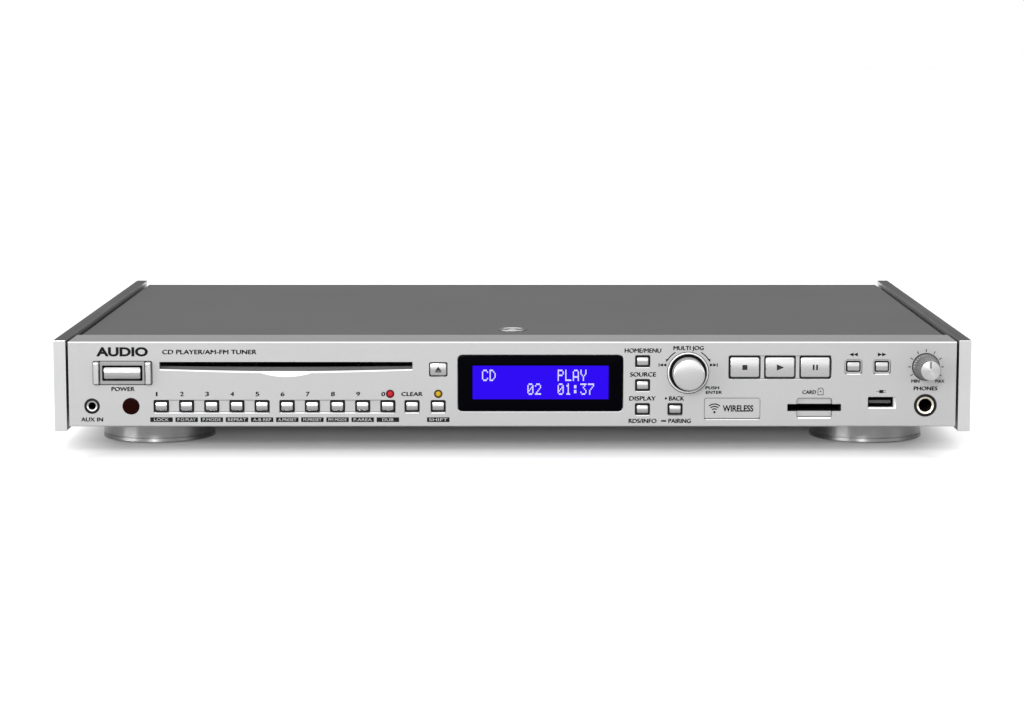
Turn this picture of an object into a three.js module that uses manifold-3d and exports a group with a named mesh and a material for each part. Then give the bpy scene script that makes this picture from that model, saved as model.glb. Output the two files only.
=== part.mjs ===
// A slot-in CD player with a tuner, a card slot and a USB socket, in millimetres, +Z up.
// The origin is on the ground under the middle of the object. The front faces -Y.
// Shapes are drawn with y = 0 on the front panel's face, and the whole group is then moved back.

import * as THREE from "three";
import { mergeVertices } from "three/addons/utils/BufferGeometryUtils.js";
import Module from "manifold-3d";

const wasm = await Module();
wasm.setup();

// ---------------------------------------------------------------- driving dimensions

const WIDTH = 435;
const SIDE = { thick: 5.8, depth: 290, height: 43.5, bottom: 9.5 };
const SIDE_TOP = SIDE.bottom + SIDE.height;
const FRONT = { width: 421, bottom: 11.7, top: 52.25, thick: 4, flangeDepth: 28.6, flangeThick: 2.5 };
const COVER = { halfWidth: 210.3, thick: 1, top: 50.7, front: 29, back: 288.6, skirt: 28 };
const BASE = { halfWidth: 208.8, thick: 1, bottom: 12, front: 5, back: 285.6, wall: 12 };
const REAR = { front: 286.4, thick: 1.2, halfWidth: 208.8, bottom: 13.4, top: 49.3 };
const FOOT = { radius: 27.5, x: 174, frontY: 49.5, rearY: 240, padThick: 1.5 };
const KNOB_REACH = 15;
const REAR_REACH = 297;
const FRONT_Y = -(REAR_REACH - KNOB_REACH) / 2;
const TOUCH = 0.3;

// Heights of the rows on the front panel, above the ground.
const NUMBER_ROW = SIDE.bottom + 12;
const DISC_Z = SIDE.bottom + 31.1;
const TRANSPORT_ROW = SIDE.bottom + 30.6;

const SHAFT_HOLE = 3.8;
const KEY = { proud: 0.6, back: 7, flange: 0.8, flangeMargin: 0.7 };
const BOARD = { front: 9, thick: 1.6 };

const NUMBER_KEY = { width: 5.8, height: 4.4, gap: 0.6 };
const MENU_KEY = { width: 5.7, height: 4.1, gap: 0.75 };
const EJECT_KEY = { width: 8, height: 6.2, gap: 0.45 };
const TRANSPORT_KEY = { width: 13.7, height: 9.6, gap: 0.6 };
const SEARCH_KEY = { width: 5.9, height: 4.3, gap: 0.55 };
const POWER_KEY = { width: 17.3, height: 5.8, sideGap: 1.1, topGap: 0.7, proud: 1.8 };

const NUMBER_PITCH = 11.95;
const FIRST_NUMBER_X = -166.7;
const NUMBERS = ["1", "2", "3", "4", "5", "6", "7", "8", "9", "0"];

const SLOT = { x: -107.3, width: 121.2, middle: 4.8, end: 4.3 };
const NOTCH = { width: 28.4, bottom: SIDE.bottom + 25.7 };
const WINDOW = { x: 13.3, width: 77.9, height: 26.5, z: SIDE.bottom + 22.95, thick: 3 };
const LCD = { x: 13.4, width: 65, height: 16.7, z: SIDE.bottom + 23.3 };
const JOG = { x: 83.35, z: SIDE.bottom + 27.96, radius: 7.5, well: 8.9, wellDepth: 1.2, proud: 9.2 };
const VOLUME = { x: 196.1, z: SIDE.bottom + 30.8, baseRadius: 6.2, faceRadius: 4.85, sides: 24 };
const CARD = { x: 143.4, z: SIDE.bottom + 11.15, width: 25.1, height: 3, depth: 30 };
const CARD_NOTCH = { width: 16.9, height: 9.65, depth: 2.2 };
const USB = { x: 174.7, z: SIDE.bottom + 13.95, width: 12.4, height: 4.9, depth: 14 };
const SHELL = 0.5;
const AUX = { x: -199.6, z: SIDE.bottom + 12, radius: 3.8, hole: 1.8 };
const PHONES = { x: 196.1, z: SIDE.bottom + 12.4, radius: 5.5, hole: 3.2 };
const INFRARED = { x: -181.1, z: SIDE.bottom + 11.9, radius: 4.1 };
const POWER = { x: -184.85, z: SIDE.bottom + 27.9, width: 27.8, height: 11, cheek: 3.1 };

const LOADER = { left: -174, right: -40.6, front: 11.4, back: 158, wall: 2 };
const DECK_Z = DISC_Z - 11;
const SPINDLE_Y = 84;
const ROLLER = { y: 22, z: DISC_Z - 4.9, endRadius: 2.6, waist: 1.8 };
const HUB_TOP = DISC_Z - 2.3;

// ---------------------------------------------------------------- materials

const material = (color, roughness, metalness) =>
  new THREE.MeshStandardMaterial({ color, roughness, metalness });

const satinSilver = () => material(0xcbcbcb, 0.35, 0.9);
const brushedSilver = () => material(0xb8b8b8, 0.3, 1);
const polishedMetal = () => material(0xd8d8d8, 0.12, 1);
const greyPaint = () => material(0x757575, 0.55, 0.2);
const zincSteel = () => material(0xa9adb0, 0.4, 0.9);
const blackPlastic = () => material(0x151515, 0.5, 0);
const glossBlack = () => material(0x020204, 0.05, 0);
const silverPlastic = () => material(0xc8c8c8, 0.3, 0.3);
const rubber = () => material(0x1c1c1c, 0.9, 0);
const circuitBoard = () => material(0x1f5a34, 0.6, 0);
const blueDisplay = () => material(0x3c0aff, 0.3, 0);
const darkRed = () => material(0x200505, 0.1, 0);
const gold = () => material(0xd6c27a, 0.2, 1);

// ---------------------------------------------------------------- geometry helpers

// A closed geometry as a manifold-3d solid: only positions count, and shared vertices are merged.
function solidOf(geometry) {
  const bare = geometry.index ? geometry.toNonIndexed() : geometry.clone();
  bare.deleteAttribute("normal");
  bare.deleteAttribute("uv");
  const merged = mergeVertices(bare, 1e-4);
  return new wasm.Manifold(
    new wasm.Mesh({
      numProp: 3,
      vertProperties: merged.attributes.position.array,
      triVerts: new Uint32Array(merged.index.array),
    }),
  );
}

function geometryOf(solid) {
  const mesh = solid.getMesh();
  const geometry = new THREE.BufferGeometry();
  geometry.setAttribute("position", new THREE.BufferAttribute(mesh.vertProperties, 3));
  geometry.setIndex(new THREE.BufferAttribute(mesh.triVerts, 1));
  geometry.computeVertexNormals();
  return geometry;
}

const joined = (first, ...rest) =>
  geometryOf(rest.reduce((whole, piece) => whole.add(solidOf(piece)), solidOf(first)));

const cut = (body, ...tools) =>
  geometryOf(tools.reduce((whole, tool) => whole.subtract(solidOf(tool)), solidOf(body)));

// A box between two values on each axis.
function box([x0, x1], [y0, y1], [z0, z1]) {
  const geometry = new THREE.BoxGeometry(x1 - x0, y1 - y0, z1 - z0);
  return geometry.translate((x0 + x1) / 2, (y0 + y1) / 2, (z0 + z1) / 2);
}

const extrude = (shape, depth, curveSegments = 4) =>
  new THREE.ExtrudeGeometry(shape, { depth, curveSegments, bevelEnabled: false });

// A shape drawn in x and z, swept from y0 back to y1.
const sweptBack = (shape, y0, y1, curveSegments) =>
  extrude(shape, y1 - y0, curveSegments).rotateX(Math.PI / 2).translate(0, y1, 0);

// A shape drawn in y and z, swept from x0 across to x1.
function sweptAcross(shape, x0, x1, curveSegments) {
  const turn = new THREE.Matrix4().makeBasis(
    new THREE.Vector3(0, 1, 0),
    new THREE.Vector3(0, 0, 1),
    new THREE.Vector3(1, 0, 0),
  );
  return extrude(shape, x1 - x0, curveSegments).applyMatrix4(turn).translate(x0, 0, 0);
}

function roundedRectangle(cx, cy, width, height, radius) {
  const shape = new THREE.Shape();
  const [left, right] = [cx - width / 2, cx + width / 2];
  const [bottom, top] = [cy - height / 2, cy + height / 2];
  shape.moveTo(left + radius, bottom);
  shape.lineTo(right - radius, bottom);
  shape.absarc(right - radius, bottom + radius, radius, -Math.PI / 2, 0);
  shape.lineTo(right, top - radius);
  shape.absarc(right - radius, top - radius, radius, 0, Math.PI / 2);
  shape.lineTo(left + radius, top);
  shape.absarc(left + radius, top - radius, radius, Math.PI / 2, Math.PI);
  shape.lineTo(left, bottom + radius);
  shape.absarc(left + radius, bottom + radius, radius, Math.PI, 1.5 * Math.PI);
  return shape;
}

const polygon = (points) => new THREE.Shape(points.map(([u, v]) => new THREE.Vector2(u, v)));

// A solid of revolution about an axis along Y through (x, z).
// The profile is [radius, y] pairs, front to back.
const turnedBack = (profile, x, z, segments) =>
  new THREE.LatheGeometry(profile.map(([r, y]) => new THREE.Vector2(r, y)), segments).translate(x, 0, z);

// A solid of revolution about an upright axis through (x, y).
// The profile is [radius, z] pairs, bottom to top.
const turnedUp = (profile, x, y, segments) =>
  new THREE.LatheGeometry(profile.map(([r, z]) => new THREE.Vector2(r, z)), segments)
    .rotateX(Math.PI / 2)
    .translate(x, y, 0);

// A straight round rod or hole along Y.
const rodBack = (x, z, radius, y0, y1, segments = 24) =>
  turnedBack([[0, y0], [radius, y0], [radius, y1], [0, y1]], x, z, segments);

// A straight round rod along X.
const rodAcross = (y, z, radius, x0, x1, segments = 16) =>
  new THREE.CylinderGeometry(radius, radius, x1 - x0, segments)
    .rotateZ(Math.PI / 2)
    .translate((x0 + x1) / 2, y, z);

// A straight upright round rod or hole.
const rodUp = (x, y, radius, z0, z1, segments = 16) =>
  new THREE.CylinderGeometry(radius, radius, z1 - z0, segments)
    .rotateX(Math.PI / 2)
    .translate(x, y, (z0 + z1) / 2);

// ---------------------------------------------------------------- assembly

const player = new THREE.Group();
player.position.y = FRONT_Y;

function add(name, geometry, surface) {
  const mesh = new THREE.Mesh(geometry, surface);
  mesh.name = name;
  player.add(mesh);
}

// ---------------------------------------------------------------- key table

const numberKeys = NUMBERS.map((label, i) => ({
  name: `key_${label}`,
  x: FIRST_NUMBER_X + i * NUMBER_PITCH,
  z: NUMBER_ROW,
  size: NUMBER_KEY,
}));

const keys = [
  ...numberKeys,
  { name: "key_clear", x: -47.6, z: NUMBER_ROW, size: NUMBER_KEY },
  { name: "key_shift", x: -35.2, z: NUMBER_ROW, size: NUMBER_KEY },
  { name: "key_eject", x: -35.1, z: SIDE.bottom + 29.6, size: EJECT_KEY },
  { name: "key_home", x: 61.8, z: SIDE.bottom + 33.5, size: MENU_KEY },
  { name: "key_source", x: 61.8, z: SIDE.bottom + 22.06, size: MENU_KEY },
  { name: "key_display", x: 61.8, z: SIDE.bottom + 10.57, size: MENU_KEY },
  { name: "key_back", x: 77.3, z: SIDE.bottom + 10.57, size: MENU_KEY },
  { name: "key_stop", x: 110.2, z: TRANSPORT_ROW, size: TRANSPORT_KEY },
  { name: "key_play", x: 126.9, z: TRANSPORT_ROW, size: TRANSPORT_KEY },
  { name: "key_pause", x: 143.6, z: TRANSPORT_ROW, size: TRANSPORT_KEY },
  { name: "key_search_back", x: 161.7, z: SIDE.bottom + 31, size: SEARCH_KEY },
  { name: "key_search_forward", x: 175.2, z: SIDE.bottom + 31, size: SEARCH_KEY },
];

// ---------------------------------------------------------------- casing

// A mouth with slightly bowed lips: highest in the middle and a little lower at its ends.
function slotOutline(margin = 0) {
  const halfWidth = SLOT.width / 2 + margin;
  const [mid, end] = [SLOT.middle / 2 + margin, SLOT.end / 2 + margin];
  const shape = new THREE.Shape();
  shape.moveTo(SLOT.x - halfWidth, DISC_Z - end);
  shape.quadraticCurveTo(SLOT.x, DISC_Z - 2 * mid + end, SLOT.x + halfWidth, DISC_Z - end);
  shape.lineTo(SLOT.x + halfWidth, DISC_Z + end);
  shape.quadraticCurveTo(SLOT.x, DISC_Z + 2 * mid - end, SLOT.x - halfWidth, DISC_Z + end);
  return shape;
}

// The crescent under the disc slot that lets a finger and thumb hold the disc's edge.
function fingerNotch() {
  const depth = 2.2;
  const half = NOTCH.width / 2;
  const bow = DISC_Z - SLOT.middle / 2 - NOTCH.bottom;
  const radius = (half * half + bow * bow) / (2 * bow);
  const rise = Math.atan2(half, radius - bow);
  const shape = new THREE.Shape();
  shape.absarc(SLOT.x, NOTCH.bottom + radius, radius, -Math.PI / 2 - rise, -Math.PI / 2 + rise);
  shape.lineTo(SLOT.x + half, DISC_Z);
  shape.lineTo(SLOT.x - half, DISC_Z);
  return sweptBack(shape, -1, depth, 12);
}

function keyHole({ x, z, size }) {
  const outline = roundedRectangle(x, z, size.width + 2 * size.gap, size.height + 2 * size.gap, 0.8);
  return sweptBack(outline, -1, FRONT.thick + 1, 1);
}

// A shallow channel as high as the key holes, from the first key's hole to the last one's.
function keyChannel(first, last) {
  const reach = first.size.width / 2 + first.size.gap;
  const [left, right] = [first.x - reach, last.x + reach];
  const height = first.size.height + 2 * first.size.gap;
  return box([left, right], [-1, 0.4], [first.z - height / 2, first.z + height / 2]);
}

// The panel's square hole round a socket's shell.
const socketHole = ({ x, z, width, height }) => [
  [x - width / 2 - SHELL - TOUCH, x + width / 2 + SHELL + TOUCH],
  [-1, FRONT.thick + 1],
  [z - height / 2 - SHELL - TOUCH, z + height / 2 + SHELL + TOUCH],
];

function frontPanel() {
  const half = FRONT.width / 2;
  const bevel = 0.8;
  const section = polygon([
    [0, FRONT.bottom],
    [FRONT.thick, FRONT.bottom],
    [FRONT.thick, FRONT.top - FRONT.flangeThick],
    [FRONT.flangeDepth, FRONT.top - FRONT.flangeThick],
    [FRONT.flangeDepth, FRONT.top],
    [bevel, FRONT.top],
    [0, FRONT.top - bevel],
  ]);
  const through = [-1, FRONT.thick + 1];
  const grown = 2 * (TOUCH - 0.05);
  const windowHole = roundedRectangle(WINDOW.x, WINDOW.z, WINDOW.width + grown, WINDOW.height + grown, 2.2);
  return cut(
    sweptAcross(section, -half, half),
    sweptBack(slotOutline(), ...through, 10),
    fingerNotch(),
    keyChannel(numberKeys[0], numberKeys[4]),
    keyChannel(numberKeys[5], numberKeys[9]),
    ...keys.map(keyHole),
    sweptBack(windowHole, ...through, 3),
    sweptBack(roundedRectangle(POWER.x, POWER.z, POWER.width - 3, POWER.height - 2, 0.3), ...through, 1),
    rodBack(JOG.x, JOG.z, JOG.well, -1, JOG.wellDepth, 24),
    rodBack(JOG.x, JOG.z, SHAFT_HOLE, ...through, 12),
    rodBack(VOLUME.x, VOLUME.z, SHAFT_HOLE, ...through, 12),
    rodBack(AUX.x, AUX.z, AUX.radius + TOUCH, ...through, 20),
    rodBack(PHONES.x, PHONES.z, PHONES.radius + TOUCH, ...through, 24),
    rodBack(INFRARED.x, INFRARED.z, INFRARED.radius + TOUCH, ...through, 20),
    box(...socketHole(CARD)),
    sweptBack(roundedRectangle(CARD.x, CARD.z, CARD_NOTCH.width, CARD_NOTCH.height, 1.5), ...through, 2),
    box(...socketHole(USB)),
  );
}

// Each side panel has inner bosses that stand it off the chassis.
function sidePanel(side) {
  const outer = WIDTH / 2;
  const inner = outer - SIDE.thick;
  const bossTip = COVER.halfWidth + 0.3;
  const plate = box(
    side < 0 ? [-outer, -inner] : [inner, outer],
    [0, SIDE.depth],
    [SIDE.bottom, SIDE_TOP],
  );
  const bosses = [60, 230].map((y) =>
    rodAcross(y, 31, 5, side < 0 ? -inner - 0.5 : bossTip, side < 0 ? -bossTip : inner + 0.5),
  );
  return joined(plate, ...bosses);
}

// A sheet with a skirt down each side.
function topCover() {
  const { halfWidth, thick, top, front, back, skirt } = COVER;
  const outline = polygon([
    [-halfWidth, top - skirt],
    [-halfWidth + thick, top - skirt],
    [-halfWidth + thick, top - thick],
    [halfWidth - thick, top - thick],
    [halfWidth - thick, top - skirt],
    [halfWidth, top - skirt],
    [halfWidth, top],
    [-halfWidth, top],
  ]);
  return sweptBack(outline, front, back);
}

// A tray with a low wall along each side.
function chassisBase() {
  const { halfWidth, thick, bottom, front, back, wall } = BASE;
  const outline = polygon([
    [-halfWidth, bottom],
    [halfWidth, bottom],
    [halfWidth, bottom + wall],
    [halfWidth - thick, bottom + wall],
    [halfWidth - thick, bottom + thick],
    [-halfWidth + thick, bottom + thick],
    [-halfWidth + thick, bottom + wall],
    [-halfWidth, bottom + wall],
  ]);
  return sweptBack(outline, front, back);
}

const REAR_PANEL_FEATURES = {
  outputX: [-176, -162],
  outputZ: [40, 24],
  aerial: { x: -112, z: 32, radius: 4.6 },
  inlet: { x: 170, z: 31.5, width: 28, height: 20.5 },
  ventX: [-60, -48, -36, -24, -12, 0, 12, 24],
};

function rearPanel() {
  const { outputX, outputZ, aerial, inlet, ventX } = REAR_PANEL_FEATURES;
  const through = [REAR.front - 1, REAR.front + REAR.thick + 1];
  return cut(
    box([-REAR.halfWidth, REAR.halfWidth], [REAR.front, REAR.front + REAR.thick], [REAR.bottom, REAR.top]),
    ...outputX.flatMap((x) => outputZ.map((z) => rodBack(x, z, 4.6, ...through, 12))),
    rodBack(aerial.x, aerial.z, aerial.radius + TOUCH, ...through, 16),
    box([inlet.x - inlet.width / 2 - 0.3, inlet.x + inlet.width / 2 + 0.3], through,
      [inlet.z - inlet.height / 2 - 0.3, inlet.z + inlet.height / 2 + 0.3]),
    ...ventX.map((x) => box([x - 1.5, x + 1.5], through, [21, 41])),
  );
}

// ---------------------------------------------------------------- feet

function foot(x, y) {
  const { radius, padThick } = FOOT;
  const top = BASE.bottom - TOUCH;
  const profile = [
    [0, padThick],
    [radius - 5, padThick],
    [radius - 5, 0.4],
    [radius - 1, 0.4],
    [radius, 1.4],
    [radius, top - 0.6],
    [radius - 0.6, top],
    [0, top],
  ];
  return turnedUp(profile, x, y, 32);
}

const footPad = (x, y) =>
  turnedUp([[0, 0], [FOOT.radius - 5.4, 0], [FOOT.radius - 5.4, 1.2], [0, 1.2]], x, y, 24);

// ---------------------------------------------------------------- keys

// A key's face bows forward about a line across its middle. Behind the panel a flange keeps the key in.
function keyBody({ x, z, size }) {
  const halfHeight = size.height / 2;
  const proud = KEY.proud;
  const bow = 0.35;
  const section = new THREE.Shape();
  section.moveTo(KEY.back, z - halfHeight);
  section.lineTo(KEY.back, z + halfHeight);
  section.lineTo(-proud + bow, z + halfHeight);
  section.quadraticCurveTo(-proud - bow, z, -proud + bow, z - halfHeight);
  const cap = sweptAcross(section, x - size.width / 2, x + size.width / 2, 4);
  const flangeWidth = size.width + 2 * (size.gap + KEY.flangeMargin);
  const flangeHeight = size.height + 2 * (size.gap + KEY.flangeMargin);
  const flangeFront = FRONT.thick + TOUCH;
  const flange = box(
    [x - flangeWidth / 2, x + flangeWidth / 2],
    [flangeFront, flangeFront + KEY.flange],
    [z - flangeHeight / 2, z + flangeHeight / 2],
  );
  const outline = sweptBack(roundedRectangle(x, z, size.width, size.height, 0.6), -5, KEY.back + 1, 1);
  const rounded = geometryOf(solidOf(cap).intersect(solidOf(outline)));
  return joined(rounded, flange);
}

// A metal frame that stands proud of the panel: high cheeks at the ends and low bars above and below.
function powerFrame() {
  const { x, z, width, height, cheek } = POWER;
  const lip = box([x - width / 2, x + width / 2], [-0.9, -TOUCH], [z - height / 2, z + height / 2]);
  const cheeks = [-1, 1].map((side) => {
    const edge = x + (side * (width - cheek)) / 2;
    return sweptBack(roundedRectangle(edge, z, cheek, height, 0.8), -2.6, -TOUCH, 2);
  });
  const sleeve = box([x - width / 2 + 1.9, x + width / 2 - 1.9], [-0.5, FRONT.thick + 1], [z - 4.2, z + 4.2]);
  const mouth = box(
    [x - POWER_KEY.width / 2 - POWER_KEY.sideGap, x + POWER_KEY.width / 2 + POWER_KEY.sideGap],
    [-4, FRONT.thick + 2],
    [z - POWER_KEY.height / 2 - POWER_KEY.topGap, z + POWER_KEY.height / 2 + POWER_KEY.topGap],
  );
  return cut(joined(lip, ...cheeks, sleeve), mouth);
}

function powerKey() {
  const { x, z } = POWER;
  const outline = roundedRectangle(x, z, POWER_KEY.width, POWER_KEY.height, 0.7);
  const flangeFront = FRONT.thick + 1 + TOUCH;
  const flange = box(
    [x - POWER_KEY.width / 2 - 1.5, x + POWER_KEY.width / 2 + 1.5],
    [flangeFront, flangeFront + KEY.flange],
    [z - POWER_KEY.height / 2 - 1.2, z + POWER_KEY.height / 2 + 1.2],
  );
  return joined(sweptBack(outline, -POWER_KEY.proud, KEY.back, 3), flange);
}

// ---------------------------------------------------------------- display

function displayWindow() {
  const outline = roundedRectangle(WINDOW.x, WINDOW.z, WINDOW.width, WINDOW.height, 2);
  return sweptBack(outline, 0.1, WINDOW.thick, 4);
}

// The character display's glass on its board, with the two indicator lamps' row left clear.
function lcdModule() {
  const glass = box(
    [LCD.x - LCD.width / 2, LCD.x + LCD.width / 2],
    [WINDOW.thick + TOUCH, WINDOW.thick + 4],
    [LCD.z - LCD.height / 2, LCD.z + LCD.height / 2],
  );
  const frame = box(
    [LCD.x - LCD.width / 2 - 4, LCD.x + LCD.width / 2 + 4],
    [WINDOW.thick + 3.5, BOARD.front - TOUCH],
    [LCD.z - LCD.height / 2 - 4, LCD.z + LCD.height / 2 + 4],
  );
  return joined(glass, frame);
}

const infraredWindow = () => {
  const { x, z, radius } = INFRARED;
  const back = FRONT.thick;
  return turnedBack([[0, -0.1], [radius - 0.4, 0], [radius, 0.3], [radius, back], [0, back]], x, z, 24);
};

// ---------------------------------------------------------------- sockets

// A round jack: a front ring, a barrel through the panel and a square body behind it.
function jack({ x, z, radius, hole }, bodyHalf, depth) {
  const ring = rodBack(x, z, radius, -0.3, FRONT.thick + 2, 24);
  const body = box([x - bodyHalf, x + bodyHalf], [FRONT.thick + TOUCH, depth], [z - bodyHalf, z + bodyHalf]);
  return cut(joined(ring, body), rodBack(x, z, hole, -1, depth - 1.5, 20));
}

// The socket's metal shell, with the contact tongue standing in its upper half.
function usbSocket() {
  const { x, z, width, height, depth } = USB;
  const outer = box([x - width / 2 - SHELL, x + width / 2 + SHELL], [0.2, depth],
    [z - height / 2 - SHELL, z + height / 2 + SHELL]);
  const mouth = box([x - width / 2, x + width / 2], [-1, depth - 1], [z - height / 2, z + height / 2]);
  const tongue = box([x - width / 2 + 0.7, x + width / 2 - 0.7], [5, depth - 0.5], [z + 0.3, z + 2.1]);
  return joined(cut(outer, mouth), tongue);
}

// The card socket's shell, with a finger recess in its front bezel.
function cardSlot() {
  const { x, z, width, height, depth } = CARD;
  const bezel = sweptBack(
    roundedRectangle(x, z, CARD_NOTCH.width - 0.8, CARD_NOTCH.height - 0.8, 1.1), CARD_NOTCH.depth, 5, 2,
  );
  const body = box([x - width / 2 - SHELL, x + width / 2 + SHELL], [0.4, depth],
    [z - height / 2 - SHELL, z + height / 2 + SHELL]);
  const hollow = box([x - width / 2, x + width / 2], [-1, depth - 1], [z - height / 2, z + height / 2]);
  const finger = sweptBack(
    roundedRectangle(x, z, CARD_NOTCH.width, CARD_NOTCH.height, 1.5), -1, CARD_NOTCH.depth, 2,
  );
  return cut(joined(bezel, body), hollow, finger);
}

// ---------------------------------------------------------------- knobs

// A plain cap with a rounded shoulder, hollow behind for the plunger's tip.
function jogKnob() {
  const { x, z, radius, proud } = JOG;
  const shoulder = 0.7;
  const profile = [
    [0, -proud],
    [radius - shoulder, -proud],
    [radius - 0.2, -proud + 0.2],
    [radius, -proud + shoulder],
    [radius, 0.3],
    [2.6, 0.3],
    [2.6, -proud + 2.5],
    [0, -proud + 2.5],
  ];
  return turnedBack(profile, x, z, 32);
}

const jogPlunger = () => {
  const { x, z, proud } = JOG;
  const tip = -proud + 2.5 + TOUCH;
  const flangeFront = FRONT.thick + TOUCH;
  return turnedBack(
    [[0, tip], [2.2, tip], [2.2, flangeFront], [5, flangeFront], [5, 6.5], [0, 6.5]], x, z, 20,
  );
};

// A tapered knob with a plain base ring and a socket for the shaft.
function volumeKnob() {
  const { x, z, baseRadius, faceRadius, sides } = VOLUME;
  const base = -0.4;
  const face = -KNOB_REACH;
  const body = turnedBack(
    [[0, face], [faceRadius - 0.4, face], [faceRadius, face + 0.4], [baseRadius - 0.3, base - 1.5],
      [baseRadius, base - 1.5], [baseRadius, base], [0, base]],
    x, z, sides,
  );
  return cut(body, rodBack(x, z, 2.4, base - 9, base + 1, 16));
}

const volumePot = () => {
  const { x, z } = VOLUME;
  const shaft = rodBack(x, z, 2.1, -9, FRONT.thick + 1, 16);
  const bush = rodBack(x, z, 3.3, 0.2, FRONT.thick + 1, 16);
  const can = box([x - 6.5, x + 6.5], [FRONT.thick + TOUCH, BOARD.front - TOUCH], [z - 6.5, z + 6.5]);
  return joined(can, bush, shaft);
};

// ---------------------------------------------------------------- circuit boards and power supply

// The key board stands behind the panel, open where a disc, card, plug or jack passes through it.
function keyBoard() {
  const edge = 204;
  const [y0, y1] = [BOARD.front, BOARD.front + BOARD.thick];
  const through = [y0 - 1, y1 + 1];
  return cut(
    box([-edge, edge], [y0, y1], [16, 48]),
    box([SLOT.x - 63, SLOT.x + 63], through, [DISC_Z - 3.6, DISC_Z + 3.6]),
    box([CARD.x - 14, CARD.x + 14], through, [CARD.z - 6, CARD.z + 6]),
    box([USB.x - 8, USB.x + 8], through, [USB.z - 4.5, USB.z + 4.5]),
    box([AUX.x - 5, AUX.x + 5], through, [AUX.z - 5, AUX.z + 5]),
    box([PHONES.x - 7, PHONES.x + 9], through, [PHONES.z - 7, PHONES.z + 7]),
  );
}

// A board on four spacers, carrying its large chips, capacitors and heatsink as one soldered assembly.
function mainBoard() {
  const [left, right, front, back] = [-30, 110, 60, 262];
  const [z0, z1] = [19, 20.6];
  const plate = box([left, right], [front, back], [z0, z1]);
  const spacers = [left + 5, right - 5].flatMap((x) =>
    [front + 5, back - 5].map((y) => rodUp(x, y, 3, BASE.bottom + BASE.thick + TOUCH, z0 + 0.5, 8)),
  );
  const chips = [[20, 120, 14], [70, 150, 10], [10, 210, 9]].map(([x, y, half]) =>
    box([x - half, x + half], [y - half, y + half], [z1 - 0.2, z1 + 2.2]),
  );
  const capacitors = [[90, 200], [90, 218], [90, 236]].map(([x, y]) => rodUp(x, y, 5, z1 - 0.2, z1 + 14, 12));
  const heatsink = box([40, 62], [236, 256], [z1 - 0.2, z1 + 18]);
  return joined(plate, ...spacers, ...chips, ...capacitors, heatsink);
}

// A sheet-metal cover over the mains supply, open below, with the transformer hung from its roof.
function powerSupply() {
  const [x0, x1, y0, y1] = [122, 202, 110, 262];
  const sheet = 1;
  const bottom = BASE.bottom + BASE.thick + TOUCH;
  const [skirt, roof] = [bottom + 3, 46];
  const cover = box([x0, x1], [y0, y1], [skirt, roof]);
  const inside = box([x0 + sheet, x1 - sheet], [y0 + sheet, y1 - sheet], [skirt - 1, roof - sheet]);
  const transformer = box([x0 + 20, x1 - 20], [y0 + 30, y0 + 68], [bottom + 4, roof - sheet / 2]);
  const feet = [x0 + 4, x1 - 4].flatMap((x) =>
    [y0 + 4, y1 - 4].map((y) => rodUp(x, y, 3.5, bottom, skirt + 4, 8)),
  );
  return joined(cut(cover, inside), transformer, ...feet);
}

// ---------------------------------------------------------------- disc loader

const WELL = { x0: SLOT.x - 21, x1: SLOT.x + 38, y0: SPINDLE_Y - 18, y1: 153 };
const SCREW = { x: SLOT.x + 28, z: DECK_Z - 1, radius: 1.4 };
const SLED = { y: SPINDLE_Y + 23.5, halfWidth: 17, halfDepth: 9, top: DISC_Z - 6.2 };

// A pressed tray under the disc's path on four posts, with a wall round it and a bridge over its mouth.
// Two bearing blocks hold the feed screw in the well that has the turntable and the sled in it.
function loaderFrame() {
  const { left, right, front, back, wall } = LOADER;
  const sideTop = DISC_Z + 7;
  const height = [DECK_Z, sideTop];
  const floor = box([left, right], [front, back], [DECK_Z, DECK_Z + wall]);
  const walls = [
    box([left, left + wall], [front, back], height),
    box([right - wall, right], [front, back], height),
    box([left, right], [back - wall, back], height),
  ];
  const posts = [left + 8, right - 8].flatMap((x) =>
    [front + 8, back - 8].map((y) => rodUp(x, y, 4, BASE.bottom + BASE.thick + TOUCH, DECK_Z + 0.5, 8)),
  );
  const bridge = box([left, right], [front, front + 8], [sideTop - 1.6, sideTop]);
  const well = box([WELL.x0, WELL.x1], [WELL.y0, WELL.y1], [DECK_Z - 1, DECK_Z + wall + 1]);
  const bearings = [WELL.y0 - 3, WELL.y1 - 1].map((y) =>
    box([SCREW.x - 4, SCREW.x + 4], [y, y + 4], [SCREW.z - 4, DECK_Z + 1]),
  );
  const frame = cut(joined(floor, ...walls, bridge, ...posts), well);
  const seat = rodBack(SCREW.x, SCREW.z, SCREW.radius + 0.4, WELL.y0 - 1, WELL.y1 + 1, 12);
  return cut(joined(frame, ...bearings), seat);
}

// A rubber-covered roller on a thin axle, wider at its ends so that it grips only the disc's rim.
function loadingRoller() {
  const half = 62;
  const axle = 1;
  const reach = half + 2.4;
  const { endRadius, waist } = ROLLER;
  const profile = [[0, -reach], [axle, -reach], [axle, -half], [endRadius, -half], [waist, 0],
    [endRadius, half], [axle, half], [axle, reach], [0, reach]];
  const roller = new THREE.LatheGeometry(profile.map(([r, u]) => new THREE.Vector2(r, u)), 16);
  return roller.rotateZ(-Math.PI / 2).translate(SLOT.x, ROLLER.y, ROLLER.z);
}

// The disc sits on this hub: a flat flange and a low centring cone on the motor's can.
const turntable = () =>
  turnedUp(
    [[0, HUB_TOP - 9], [3.5, HUB_TOP - 9], [3.5, HUB_TOP - 2.6], [13, HUB_TOP - 2.6], [13, HUB_TOP - 1.4],
      [7.3, HUB_TOP - 1.4], [6.2, HUB_TOP], [0, HUB_TOP]],
    SLOT.x, SPINDLE_Y, 20,
  );

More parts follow.
